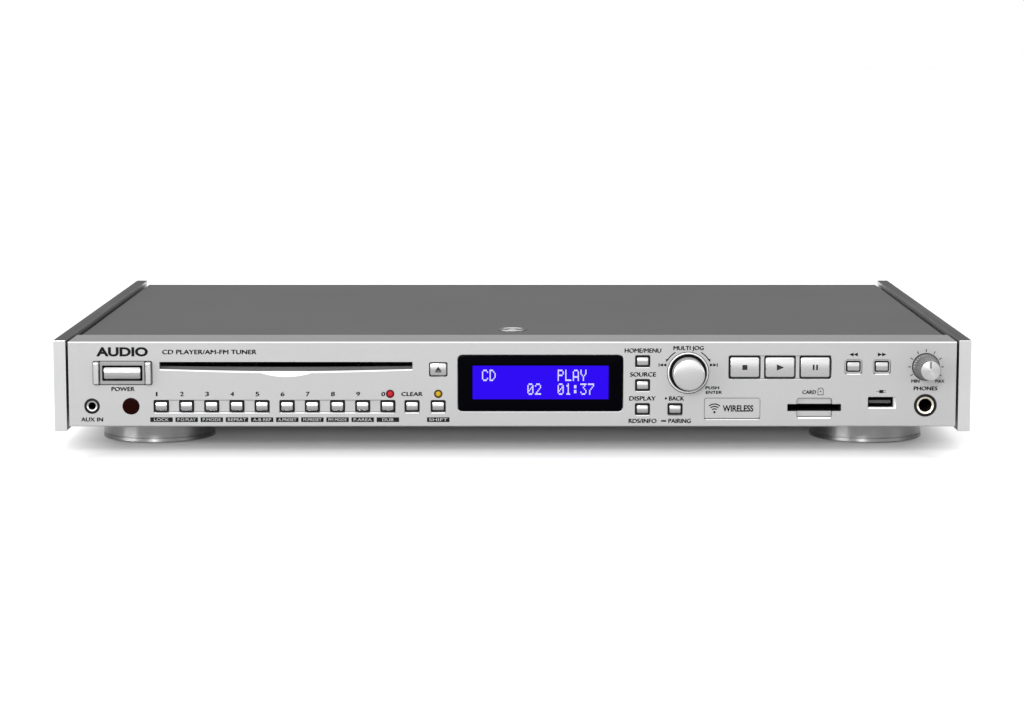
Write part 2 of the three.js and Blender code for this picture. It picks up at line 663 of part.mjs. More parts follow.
// The laser sled carries its lens, and an arm with a nut that rides on the feed screw.
function laserSled() {
  const { y, halfWidth, halfDepth, top } = SLED;
  const carriage = box([SLOT.x - halfWidth, SLOT.x + halfWidth], [y - halfDepth, y + halfDepth],
    [top - 7, top - 1]);
  const lens = rodUp(SLOT.x, y, 4, top - 1.5, top, 12);
  const arm = box([SLOT.x + halfWidth - 1, SCREW.x + 3.4], [y - 4, y + 4], [SCREW.z - 3.2, top - 2]);
  return cut(joined(carriage, lens, arm), rodBack(SCREW.x, SCREW.z, SCREW.radius + 0.4, y - 9, y + 9, 12));
}

const feedScrew = () => rodBack(SCREW.x, SCREW.z, SCREW.radius, WELL.y0 - 0.7, WELL.y1 + 0.7, 12);

// ---------------------------------------------------------------- rear sockets

// Four line sockets in one moulded block, with round barrels through the rear panel.
function outputJacks() {
  const { outputX, outputZ } = REAR_PANEL_FEATURES;
  const margin = 7;
  const block = box(
    [outputX[0] - margin, outputX[1] + margin],
    [270, REAR.front - TOUCH],
    [outputZ[1] - margin, outputZ[0] + margin],
  );
  const barrels = outputX.flatMap((x) => outputZ.map((z) => rodBack(x, z, 4.2, 280, REAR_REACH, 12)));
  const holes = outputX.flatMap((x) => outputZ.map((z) => rodBack(x, z, 1.6, 288, REAR_REACH + 1, 8)));
  return cut(joined(block, ...barrels), ...holes);
}

const aerialSocket = () => {
  const { x, z, radius } = REAR_PANEL_FEATURES.aerial;
  const can = box([x - 12, x + 12], [266, REAR.front - TOUCH], [z - 11, z + 11]);
  const barrel = rodBack(x, z, radius, 280, REAR_REACH - 1, 16);
  return cut(joined(can, barrel), rodBack(x, z, 3.6, 289, REAR_REACH, 16));
};

// The mains inlet: a flanged plastic shell round the space for the plug, with three flat pins in it.
function mainsInlet() {
  const { x, z, width, height } = REAR_PANEL_FEATURES.inlet;
  const shell = box([x - width / 2, x + width / 2], [266, REAR.front + 3], [z - height / 2, z + height / 2]);
  const rim = box([x - width / 2 - 3, x + width / 2 + 3], [REAR.front + REAR.thick + TOUCH, REAR.front + 3.2],
    [z - height / 2 - 2, z + height / 2 + 2]);
  const mouth = sweptBack(roundedRectangle(x, z, 24, 16.5, 2.4), 269, REAR.front + 5, 3);
  const pins = [[-7, -1.5], [0, 2.5], [7, -1.5]].map(([dx, dz]) =>
    box([x + dx - 1, x + dx + 1], [268, 283], [z + dz - 2, z + dz + 2]),
  );
  return joined(cut(joined(shell, rim), mouth), ...pins);
}

// ---------------------------------------------------------------- the object

add("front_panel", frontPanel(), satinSilver());
add("side_panel_left", sidePanel(-1), brushedSilver());
add("side_panel_right", sidePanel(1), brushedSilver());
add("top_cover", topCover(), greyPaint());
add("chassis_base", chassisBase(), zincSteel());
add("rear_panel", rearPanel(), greyPaint());

for (const [end, y] of [["front", FOOT.frontY], ["rear", FOOT.rearY]])
  for (const [hand, x] of [["left", -FOOT.x], ["right", FOOT.x]]) {
    add(`foot_${end}_${hand}`, foot(x, y), polishedMetal());
    add(`foot_pad_${end}_${hand}`, footPad(x, y), rubber());
  }

for (const key of keys) add(key.name, keyBody(key), silverPlastic());
add("power_frame", powerFrame(), polishedMetal());
add("key_power", powerKey(), silverPlastic());

add("display_window", displayWindow(), glossBlack());
add("lcd_module", lcdModule(), blueDisplay());
add("infrared_window", infraredWindow(), darkRed());

add("aux_jack", jack(AUX, 4.2, 18), blackPlastic());
add("phones_jack", jack(PHONES, 6.2, 34), gold());
add("usb_socket", usbSocket(), brushedSilver());
add("card_slot", cardSlot(), blackPlastic());

add("jog_knob", jogKnob(), satinSilver());
add("jog_plunger", jogPlunger(), blackPlastic());
add("volume_knob", volumeKnob(), satinSilver());
add("volume_pot", volumePot(), zincSteel());

add("key_board", keyBoard(), circuitBoard());
add("main_board", mainBoard(), circuitBoard());
add("power_supply", powerSupply(), zincSteel());

add("loader_frame", loaderFrame(), zincSteel());
add("loading_roller", loadingRoller(), rubber());
add("turntable", turntable(), blackPlastic());
add("laser_sled", laserSled(), blackPlastic());
add("feed_screw", feedScrew(), brushedSilver());

add("output_jacks", outputJacks(), blackPlastic());
add("aerial_socket", aerialSocket(), brushedSilver());
add("mains_inlet", mainsInlet(), blackPlastic());

export default player;
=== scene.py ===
"""Looks of a slot-in CD player with a tuner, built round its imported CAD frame.

Shapes are drawn in millimetres, in the player's own frame: x across, y back from the front panel's
face, z up from the ground. make() turns them into metres in the frame that the CAD model uses.
"""

import math

import bmesh
import bpy
from mathutils import Matrix, Vector


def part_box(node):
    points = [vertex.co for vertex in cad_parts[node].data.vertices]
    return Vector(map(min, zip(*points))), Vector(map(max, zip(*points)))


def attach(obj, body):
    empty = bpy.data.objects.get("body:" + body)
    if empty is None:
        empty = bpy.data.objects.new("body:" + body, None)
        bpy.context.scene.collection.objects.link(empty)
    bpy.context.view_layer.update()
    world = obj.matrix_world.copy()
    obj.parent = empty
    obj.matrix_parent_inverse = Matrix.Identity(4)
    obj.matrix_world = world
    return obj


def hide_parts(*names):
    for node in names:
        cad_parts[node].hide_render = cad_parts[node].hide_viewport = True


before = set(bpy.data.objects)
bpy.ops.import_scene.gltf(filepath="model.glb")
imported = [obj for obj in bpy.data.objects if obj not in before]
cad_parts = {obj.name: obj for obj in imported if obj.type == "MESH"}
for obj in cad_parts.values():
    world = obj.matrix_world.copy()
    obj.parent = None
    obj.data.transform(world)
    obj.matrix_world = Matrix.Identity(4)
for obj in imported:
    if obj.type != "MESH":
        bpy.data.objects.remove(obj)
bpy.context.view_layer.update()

MM = 0.001
SAME_POINT = 2e-7
FRONT_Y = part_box("front_panel")[0].y
TO_ROW = Matrix.Translation((0, FRONT_Y, 0)) @ Matrix.Diagonal((MM, MM, MM, 1))


def size_mm(node):
    """Lowest and highest corner of a CAD node, in millimetres in the player's own frame."""
    low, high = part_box(node)
    back = Vector((0, FRONT_Y, 0))
    return (low - back) / MM, (high - back) / MM


def centre_mm(node):
    low, high = size_mm(node)
    return (low + high) / 2


NUMBER_KEYS = [f"key_{n}" for n in "1234567890"]
SMALL_KEYS = ["key_clear", "key_shift"]
MENU_KEYS = ["key_home", "key_source", "key_display", "key_back"]
TRANSPORT_KEYS = ["key_stop", "key_play", "key_pause"]
SEARCH_KEYS = ["key_search_back", "key_search_forward"]

# Cap width, cap height and the gap round it, for each kind of key.
CAP = {
    **{key: (5.4, 4.0, 0.9) for key in NUMBER_KEYS + SMALL_KEYS},
    **{key: (5.3, 3.85, 0.95) for key in MENU_KEYS},
    **{key: (13.7, 9.6, 0.6) for key in TRANSPORT_KEYS},
    **{key: (5.75, 4.15, 0.55) for key in SEARCH_KEYS},
    "key_eject": (7.75, 5.95, 0.45),
}
# How far a cap's face is set back from its CAD key's.
CAP_BACK = 0.02
PANEL_THICK = 4.0
SLOT = {"x": -107.3, "z": 40.6, "half": 60.0, "top": 2.05, "middle": 2.5, "end": 1.4}
JOG = centre_mm("jog_knob")
VOLUME = centre_mm("volume_knob")
BADGE = {"x": 104.4, "z": 20.5, "width": 26.75, "height": 10.1}
LAMPS = {"lamp_red": (-58.0, 27.4), "lamp_amber": (-35.15, 27.4)}
LCD = {"x": 13.4, "z": 32.8, "width": 64.5, "height": 16.1}


# ---- materials

# The fine grain's share in how a surface varies. The rest is a broad mottling.
FINE_SHARE = 0.75


def add(tree, kind, inputs, out=0, **settings):
    """Adds a node, and returns one of its outputs. Each input is a value or another node's output."""
    made = tree.nodes.new(kind)
    for name, value in settings.items():
        setattr(made, name, value)
    for socket, value in inputs.items():
        if isinstance(value, bpy.types.NodeSocket):
            tree.links.new(value, made.inputs[socket])
        else:
            made.inputs[socket].default_value = value
    return made.outputs[out]


def operate(tree, operation, *values):
    return add(tree, "ShaderNodeMath", dict(enumerate(values)), operation=operation)


def ranged(tree, value, source=(0, 1), result=(0, 1), way="LINEAR"):
    """A value moved from one range to another."""
    ends = {"From Min": source[0], "From Max": source[1], "To Min": result[0], "To Max": result[1]}
    return add(tree, "ShaderNodeMapRange", {"Value": value, **ends}, interpolation_type=way)


def ramp_between(tree, value, low, high):
    return ranged(tree, value, (low, high), way="SMOOTHSTEP")


def blend_values(tree, factor, low, high):
    """low where the factor is 0 and high where it is 1. Each is a number or another node's output."""
    return add(tree, "ShaderNodeMix", {0: factor, 2: low, 3: high})


def surface(name, colour, roughness, metallic=0.0, grain=900.0, shade=0.06, bump=0.02,
            stretch=(1, 1, 1), spread=0.06, anisotropic=0.0, turn=0.0, tangent_axis=None, specular=0.5):
    """A material whose colour, roughness and relief vary with a fine grain. stretch draws the grain out.
    colour is a grey or three numbers."""
    colour = [colour] * 3 if isinstance(colour, float) else colour
    material = bpy.data.materials.new(name)
    material.use_nodes = True
    tree = material.node_tree
    sockets = tree.nodes["Principled BSDF"].inputs
    for socket, value in (("Metallic", metallic), ("Specular IOR Level", specular),
                          ("Anisotropic", anisotropic), ("Anisotropic Rotation", turn)):
        sockets[socket].default_value = value
    place = add(tree, "ShaderNodeTexCoord", {}, "Object")
    spot = add(tree, "ShaderNodeMapping", {"Vector": place, "Scale": [grain * s for s in stretch]})
    fine = add(tree, "ShaderNodeTexNoise", {"Vector": spot, "Scale": 1, "Detail": 4, "Roughness": 0.6}, "Fac")
    broad = add(tree, "ShaderNodeTexNoise", {"Vector": place, "Scale": 18, "Detail": 2}, "Fac")
    rest = operate(tree, "MULTIPLY", broad, 1 - FINE_SHARE)
    mixed = operate(tree, "MULTIPLY_ADD", fine, FINE_SHARE, rest)
    ramp = tree.nodes.new("ShaderNodeValToRGB")
    stops = ramp.color_ramp.elements
    for stop, position, scale in zip(stops, (0.3, 0.7), (1 - shade, 1 + shade), strict=True):
        stop.position = position
        stop.color = [min(1, c * scale) for c in colour] + [1]
    tree.links.new(mixed, ramp.inputs["Fac"])
    tree.links.new(ramp.outputs["Color"], sockets["Base Color"])
    limits = (max(0.02, roughness - spread), min(1, roughness + spread))
    tree.links.new(ranged(tree, mixed, result=limits), sockets["Roughness"])
    if bump:
        relief = add(tree, "ShaderNodeBump", {"Strength": bump, "Distance": 0.0001, "Height": fine})
        tree.links.new(relief, sockets["Normal"])
    if tangent_axis:
        tangent = add(tree, "ShaderNodeTangent", {}, direction_type="RADIAL", axis=tangent_axis)
        tree.links.new(tangent, sockets["Tangent"])
    return material


def painted_shade_on_top(material, share):
    """Takes a share off a material's colour where its surface faces straight up, as a painted shade on its
    tops.
    """
    tree = material.node_tree
    colour = tree.nodes["Principled BSDF"].inputs["Base Color"]
    normal = add(tree, "ShaderNodeNewGeometry", {}, "Normal")
    up = add(tree, "ShaderNodeSeparateXYZ", {0: normal}, "Z")
    kept = ranged(tree, up, (0.5, 1), (1, 1 - share))
    full = colour.links[0].from_socket
    scaled = add(tree, "ShaderNodeVectorMath", {0: full, "Scale": kept}, operation="SCALE")
    tree.links.new(scaled, colour)


def glowing(name, colour, strength, base=(0.001, 0.001, 0.001)):
    """A backlit surface: its light varies a little from cell to cell."""
    material = surface(name, base, 0.25, grain=1500.0, bump=0.0, specular=0.01)
    tree = material.node_tree
    shader = tree.nodes["Principled BSDF"]
    shader.inputs["Emission Strength"].default_value = strength
    glow = tree.nodes.new("ShaderNodeValToRGB")
    glow.color_ramp.elements[0].color = [c * 0.94 for c in colour] + [1]
    glow.color_ramp.elements[1].color = [*colour, 1]
    grain = next(n for n in tree.nodes if n.type == "TEX_NOISE")
    tree.links.new(grain.outputs["Fac"], glow.inputs["Fac"])
    tree.links.new(glow.outputs["Color"], shader.inputs["Emission Color"])
    return material


# Name, colour, roughness and share of metal, and then how its grain looks.
FRONT_METAL = surface(
    "satin_aluminium", (0.227, 0.227, 0.228), 0.42, 0.5, grain=2600, shade=0.04, bump=0.05)
SIDE_METAL = surface(
    "brushed_aluminium", (0.41, 0.41, 0.413), 0.3, 1.0, grain=5200, shade=0.07, bump=0.06,
    stretch=(1, 0.02, 1), anisotropic=0.4)
# The tops of the side panels and of the front panel's top flange get a painted shade.
painted_shade_on_top(SIDE_METAL, 0.68)
painted_shade_on_top(FRONT_METAL, 0.15)
# Brighter, glossier cut metal for the panel's chamfers. Only faces that tilt up or left, and the foot bevel,
# get it, so it is a painted highlight on top of the real cut finish.
LIT_CUT_METAL = surface("cut_aluminium_painted_highlight", (0.48, 0.48, 0.485), 0.2, 1.0, shade=0.03, bump=0.01)
COVER_PAINT = surface(
    "grey_paint", (0.056, 0.056, 0.057), 0.7, grain=1800, shade=0.1, bump=0.12, specular=0.12)
REAR_PAINT = surface("rear_paint", (0.1, 0.1, 0.102), 0.55, grain=1800, shade=0.1, bump=0.12)
ZINC = surface("zinc_sheet", (0.45, 0.46, 0.47), 0.38, 1.0, grain=260, shade=0.14, bump=0.03)
FOOT_METAL = surface(
    "turned_metal", 0.28, 0.42, 1.0, grain=4200, shade=0.1, bump=0.05,
    stretch=(0.02, 0.02, 1), anisotropic=0.9, turn=0.25, tangent_axis="Z")
KNOB_FACE = surface(
    "knob_face", 0.33, 0.32, 1.0, grain=3200, shade=0.05, bump=0.03, anisotropic=0.6,
    turn=0.25, tangent_axis="Y")
KNOB_SIDE = surface("knob_side", 0.17, 0.5, 1.0, grain=3200, shade=0.05, bump=0.03)
# A near-black band at the back of the volume knob: painted shade where it meets the panel.
KNOB_RIM_SHADE = surface("knob_rim_painted_shade", 0.03, 0.5, grain=3200, shade=0.05, bump=0.03)
JOG_SIDE = surface("jog_side", 0.14, 0.6, grain=3200, shade=0.05, bump=0.03)
JOG_METAL = surface("jog_metal", 0.37, 0.2, 1.0, grain=3200, shade=0.03)
COLLAR_METAL = surface("collar_metal", 0.5, 0.3, 0.35, shade=0.03, bump=0.01)
CHROME = surface(
    "polished_metal", 0.43, 0.14, 1.0, grain=600, shade=0.03, bump=0.01, spread=0.03)
KEY_SILVER = surface("key_silver", (0.3, 0.3, 0.303), 0.2, 1.0, grain=2400, shade=0.03)
WIDE_KEY_SILVER = surface(
    "wide_key_silver", (0.335, 0.335, 0.338), 0.26, 1.0, grain=2400, shade=0.03)
# A darker copy of the frame's metal for its low bars: painted shade.
SHADED_FRAME_METAL = surface("frame_metal_painted_shade", 0.21, 0.3, 1.0, shade=0.04)
SLOT_FELT = surface("slot_felt", 0.075, 0.9, grain=2400, shade=0.2, bump=0.2, specular=0.05)
GLOSS_BLACK = surface(
    "gloss_black", (0.0005, 0.0005, 0.001), 0.06, grain=500, bump=0.0, spread=0.02,
    specular=0.006)
BLACK_PLASTIC = surface(
    "black_plastic", 0.005, 0.45, grain=1600, shade=0.3, bump=0.1, specular=0.08)
GREY_PLASTIC = surface(
    "grey_plastic", (0.014, 0.014, 0.015), 0.35, grain=1600, shade=0.1, bump=0.05)
RUBBER = surface("rubber", 0.02, 0.85, grain=1400, shade=0.3, bump=0.25, specular=0.3)
DARK_RED = surface(
    "infrared_red", (0.0056, 0.0009, 0.0006), 0.12, grain=500, bump=0.0, specular=0.012)
SOCKET_STEEL = surface("nickel", (0.42, 0.415, 0.405), 0.25, 1.0, grain=1500)
WARM_METAL = surface("jack_metal", (0.56, 0.53, 0.45), 0.2, 1.0, grain=1500, shade=0.05)
BOARD_GREEN = surface("solder_mask", (0.02, 0.11, 0.045), 0.4, grain=240, shade=0.3, bump=0.05)
BOX_INK = surface("box_ink", 0.005, 0.6, grain=2500, shade=0.1, bump=0.0, specular=0.05)
KEY_INK = surface("key_ink", 0.012, 0.5, grain=2500, shade=0.1, bump=0.0, specular=0.05)
BADGE_METAL = surface("badge_metal", 0.32, 0.3, 1.0, grain=600, shade=0.04)
SCREW_STEEL = surface(
    "screw_steel", (0.3, 0.3, 0.31), 0.3, 1.0, grain=1500, shade=0.08, bump=0.03)
INK = surface("legend_ink", 0.005, 0.7, grain=2500, shade=0.1, bump=0.0, specular=0.03)
PALE_INK = surface("pale_ink", 0.25, 0.6, grain=2500, shade=0.05, bump=0.0, specular=0.1)
REAR_INK = surface("rear_ink", 0.6, 0.6, grain=2500, shade=0.05, bump=0.0, specular=0.1)
WHITE_RING = surface("white_plastic", (0.7, 0.7, 0.69), 0.4, shade=0.05)
RED_RING = surface("red_plastic", (0.5, 0.02, 0.02), 0.4, shade=0.08)
LENS_BLUE = surface("lens_coating", (0.03, 0.04, 0.12), 0.08, shade=0.2, bump=0.0)
CAPACITOR_SLEEVE = surface("capacitor_sleeve", (0.02, 0.024, 0.05), 0.35, shade=0.1)
LCD_BLUE = glowing("display_blue", (0.026, 0.0, 0.93), 1.0)
LCD_WHITE = glowing("display_dots", (0.86, 0.82, 1.0), 1.0)
LAMP_RED = glowing("lamp_red", (0.5, 0.02, 0.03), 0.4, (0.17, 0.008, 0.012))
LAMP_RED_EDGE = surface("lamp_red_edge", (0.05, 0.0, 0.004), 0.3, shade=0.05, bump=0.0, specular=0.1)
LAMP_AMBER = glowing("lamp_amber", (0.55, 0.37, 0.03), 0.4, (0.17, 0.11, 0.008))
LAMP_AMBER_EDGE = surface(
    "lamp_amber_edge", (0.035, 0.018, 0.0), 0.3, shade=0.05, bump=0.0, specular=0.1)


# ---- outlines and solids

def circle(cx, cy, radius, count=40):
    turns = [2 * math.pi * i / count for i in range(count)]
    return [(cx + radius * math.cos(t), cy + radius * math.sin(t)) for t in turns]


def rounded(cx, cy, width, height, radius, count=5):
    """A rectangle with round corners, as a loop of points running anticlockwise."""
    corners = [(1, -1, -90), (1, 1, 0), (-1, 1, 90), (-1, -1, 180)]
    loop = []
    for sx, sy, start in corners:
        for i in range(count + 1):
            turn = math.radians(start + 90 * i / count)
            loop.append((cx + sx * (width / 2 - radius) + radius * math.cos(turn),
                         cy + sy * (height / 2 - radius) + radius * math.sin(turn)))
    return loop


def facing(loop, y):
    """A loop drawn in x and z, stood up at depth y."""
    return [(a, y, b) for a, b in loop]


def level(loop, z):
    """A loop drawn in x and y, laid flat at height z."""
    return [(a, b, z) for a, b in loop]


def crosswise(loop, x):
    """A loop drawn in y and z, stood across at x."""
    return [(x, a, b) for a, b in loop]


def pane(x, z, width, height, radius, count=5):
    """A rounded rectangle, as a function of how far it is inset and of its depth."""
    return lambda inset, y: facing(
        rounded(x, z, width - 2 * inset, height - 2 * inset, max(0.1, radius - inset), count), y)


def loft(loops):
    """A closed skin over a row of loops with the same number of points. A loop of one point closes to it."""
    points = [p for loop in loops for p in loop]
    starts = [sum(len(loop) for loop in loops[:i]) for i in range(len(loops))]
    faces = []
    for i in range(len(loops) - 1):
        a, b, n, m = starts[i], starts[i + 1], len(loops[i]), len(loops[i + 1])
        for j in range(max(n, m)):
            k = (j + 1) % max(n, m)
            if n == 1:
                faces.append((a, b + j, b + k))
            elif m == 1:
                faces.append((a + j, a + k, b))
            else:
                faces.append((a + j, a + k, b + k, b + j))
    for start, loop in ((starts[0], loops[0]), (starts[-1], loops[-1])):
        if len(loop) > 2:
            faces.append(tuple(range(start, start + len(loop))))
    return points, faces


def box(x, y, z):
    return loft([level([(x[0], y[0]), (x[1], y[0]), (x[1], y[1]), (x[0], y[1])], height) for height in z])


def turned(profile, cx, cz, count=48, at=0.0):
    """A solid of revolution about a line along y: the profile is (radius, y - at) from front to back."""
    return loft([facing(circle(cx, cz, r, count), at + y) if r else [(cx, at + y, cz)] for r, y in profile])


def turned_up(profile, cx, cy, count=64, at=0.0):
    """A solid of revolution about an upright line: the profile is (radius, z - at) from the bottom up."""
    return loft([level(circle(cx, cy, r, count), at + z) if r else [(cx, cy, at + z)] for r, z in profile])


def ring(profile, cx, cz, count=48, at=0.0):
    """A ring about a line along y, whose section is the closed profile of (radius, y - at)."""
    return tube([facing(circle(cx, cz, r, count), at + y) for r, y in profile])


def tube(loops):
    """A closed ring-shaped skin through loops that come back to the first."""
    points, faces = loft([*loops, loops[0]])
    keep = len(points) - len(loops[0])
    return points[:keep], [tuple(v % keep for v in face) for face in faces[:-2]]


def together(*shapes):
    points, faces = [], []
    for more_points, more_faces in shapes:
        start = len(points)
        points += more_points
        faces += [tuple(start + v for v in face) for face in more_faces]
    return points, faces


def mesh_of(name, shape, matrix=TO_ROW):
    points, faces = shape
    made = bmesh.new()
    corners = [made.verts.new(matrix @ Vector(p)) for p in points]
    for face in faces:
        made.faces.new([corners[v] for v in face])
    bmesh.ops.remove_doubles(made, verts=made.verts, dist=SAME_POINT)
    bmesh.ops.recalc_face_normals(made, faces=made.faces)
    mesh = bpy.data.meshes.new(name)
    made.to_mesh(mesh)
    made.free()
    return mesh


def finished(obj, material, body="root", replaces=(), angle=32):
    """Gives a new piece its material and smoothing, and joins it to the CAD body it moves with."""
    obj.data.materials.clear()
    obj.data.materials.append(material)
    obj.data.shade_smooth()
    obj.data.set_sharp_from_angle(angle=math.radians(angle))
    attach(obj, body)
    if replaces:
        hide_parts(*replaces)
    return obj


def linked(name, mesh):
    obj = bpy.data.objects.new(name, mesh)
    bpy.context.scene.collection.objects.link(obj)
    return obj


def make(name, shape, material, body="root", replaces=(), angle=32):
    return finished(linked(name, mesh_of(name, shape)), material, body, replaces, angle)


def applied(obj):
    """The object's mesh with its modifiers applied, in a new mesh."""
    view = bpy.context.evaluated_depsgraph_get()
    mesh = bpy.data.meshes.new_from_object(obj.evaluated_get(view))
    obj.modifiers.clear()
    return mesh


def carve(obj, cutters):
    """Cuts a set of shapes, which don't touch each other, out of an object."""
    tool = linked("cutter", mesh_of("cutter", together(*cutters)))
    modifier = obj.modifiers.new("cut", "BOOLEAN")
    modifier.operation = "DIFFERENCE"
    modifier.solver = "EXACT"
    modifier.object = tool
    bpy.context.view_layer.update()
    obj.data = applied(obj)
    bpy.data.objects.remove(tool)


def hole(outline, depth=PANEL_THICK + 1, chamfer=0.22, start=0.0):
    """A cutter for a hole with a chamfered mouth: outline(margin) gives its loop, grown by that margin."""
    return loft([
        facing(outline(chamfer + 0.5), start - 0.5),
        facing(outline(chamfer), start),
        facing(outline(0), start + chamfer),
        facing(outline(0), depth),
    ])


# ---- front panel

def key_outline(key):
    """The outline of a key's hole, as a function of how far it is grown."""
    place = centre_mm(key)
    width, height, gap = CAP[key]

    def grown(margin):
        grow = 2 * (gap + margin)
        return rounded(place.x, place.z, width + grow, height + grow, 0.8 + margin)
    return grown


def channel(first, last, extra):
    """Centre, size and corner of the channel from one key's hole to another's, as high as the holes."""
    left, right = centre_mm(first), centre_mm(last)
    width, height, gap = CAP[first]
    grow = 2 * (gap + extra)
    return ((left.x + right.x) / 2, left.z, right.x - left.x + width + grow, height + grow, 0.6 + extra)


# Places across the slot, from -1 at its left end to 1 at its right.
ACROSS = [-1 + 2 * i / 32 for i in range(33)]


def slot_bottom(u):
    """How far the slot's bottom lip is under its middle line, at u from -1 to 1 across it."""
    return SLOT["end"] + (SLOT["middle"] - SLOT["end"]) * (1 - abs(u) ** 1.6)


def slot_loop(margin, drop=0.0):
    """The disc slot's mouth: its bottom lip bows down. drop lowers that lip further."""
    half = SLOT["half"] + margin
    bottom = [(SLOT["x"] + half * u, SLOT["z"] - slot_bottom(u) - margin - drop * (1 - 0.4 * abs(u)))
              for u in ACROSS]
    top = [(SLOT["x"] + half * u, SLOT["z"] + SLOT["top"] + margin) for u in reversed(ACROSS)]
    return bottom + top


def slot_cutter():
    return loft([
        facing(slot_loop(0.02, 0.9), -0.5),
        facing(slot_loop(0.02, 0.88), 0.0),
        facing(slot_loop(0.0, 0.0), 0.5),
        facing(slot_loop(0.0), PANEL_THICK + 1),
    ])


def slot_felt():
    """A felt lip inside the slot that slopes up from its bottom edge, higher at its ends."""
    half, rise, front, back = SLOT["half"] - 0.05, 3.75, 1.5, 3.6
    loops = []
    for u in ACROSS:
        x = SLOT["x"] + half * u
        low = SLOT["z"] - slot_bottom(u) + 0.02
        crest = SLOT["z"] - 0.85 + 0.4 * u * u
        knee = low + 0.35 * (crest - low)
        loops.append([(x, front, low), (x, 2.7, knee), (x, back, crest), (x, rise, crest + 0.06),
                      (x, PANEL_THICK, crest), (x, PANEL_THICK, low)])
    make("slot_felt", loft(loops), SLOT_FELT)


def scoop_cutter():
    """The finger scoop under the slot: a crescent on the panel's face that slopes back up to the lip."""
    half, sag, slope = 14.3, 2.65, 2.0
    lip_z = SLOT["z"] - SLOT["middle"] + 0.05

    def crescent(y):
        low = [(SLOT["x"] + half * u, min(lip_z - sag * (1 - u * u) + slope * y, lip_z + 0.85))
               for u in ACROSS]
        high = [(SLOT["x"] + half * u, lip_z + 0.9) for u in reversed(ACROSS)]
        return facing(low + high, y)
    return loft([crescent(y) for y in (-0.4, 0.0, 0.45, 0.9, 1.36)])


def disc_hole(x, z, radius, **options):
    return hole(lambda margin: circle(x, z, radius + margin), **options)


def rectangle_hole(x, z, width, height, radius, **options):
    return hole(lambda margin: rounded(x, z, width + 2 * margin, height + 2 * margin, radius + margin),
                **options)


def lit_outline(x, z, width, height, radius, lit, right=0.0):
    """A rounded rectangle grown at its bottom, and at its right if wanted, to give it a chamfer there."""
    return rounded(x + right / 2, z - lit / 2, width + right, height + lit, radius + lit / 4)


def seam(x, z, width, height, radius, wide=0.3, deep=0.9, lit=0.4):
    """A narrow groove that follows a rounded rectangle, with a chamfer outside its bottom."""
    outer = rounded(x, z, width, height, radius)
    inner = rounded(x, z, width - 2 * wide, height - 2 * wide, radius - wide)
    grown = lit_outline(x, z, width, height, radius, lit)
    return tube([facing(grown, -0.3), facing(grown, 0.0), facing(outer, lit * 0.8), facing(outer, deep),
                 facing(inner, deep), facing(inner, -0.3)])


def pocket(x, z, width, height, radius, deep, lit=0.4, right=0.0):
    """A recess with plain walls, a chamfer at its bottom, and one at its right if wanted."""
    outer = rounded(x, z, width, height, radius)
    grown = lit_outline(x, z, width, height, radius, lit, right)
    return loft([facing(grown, -0.3), facing(grown, 0.0), facing(outer, lit * 0.8), facing(outer, deep)])


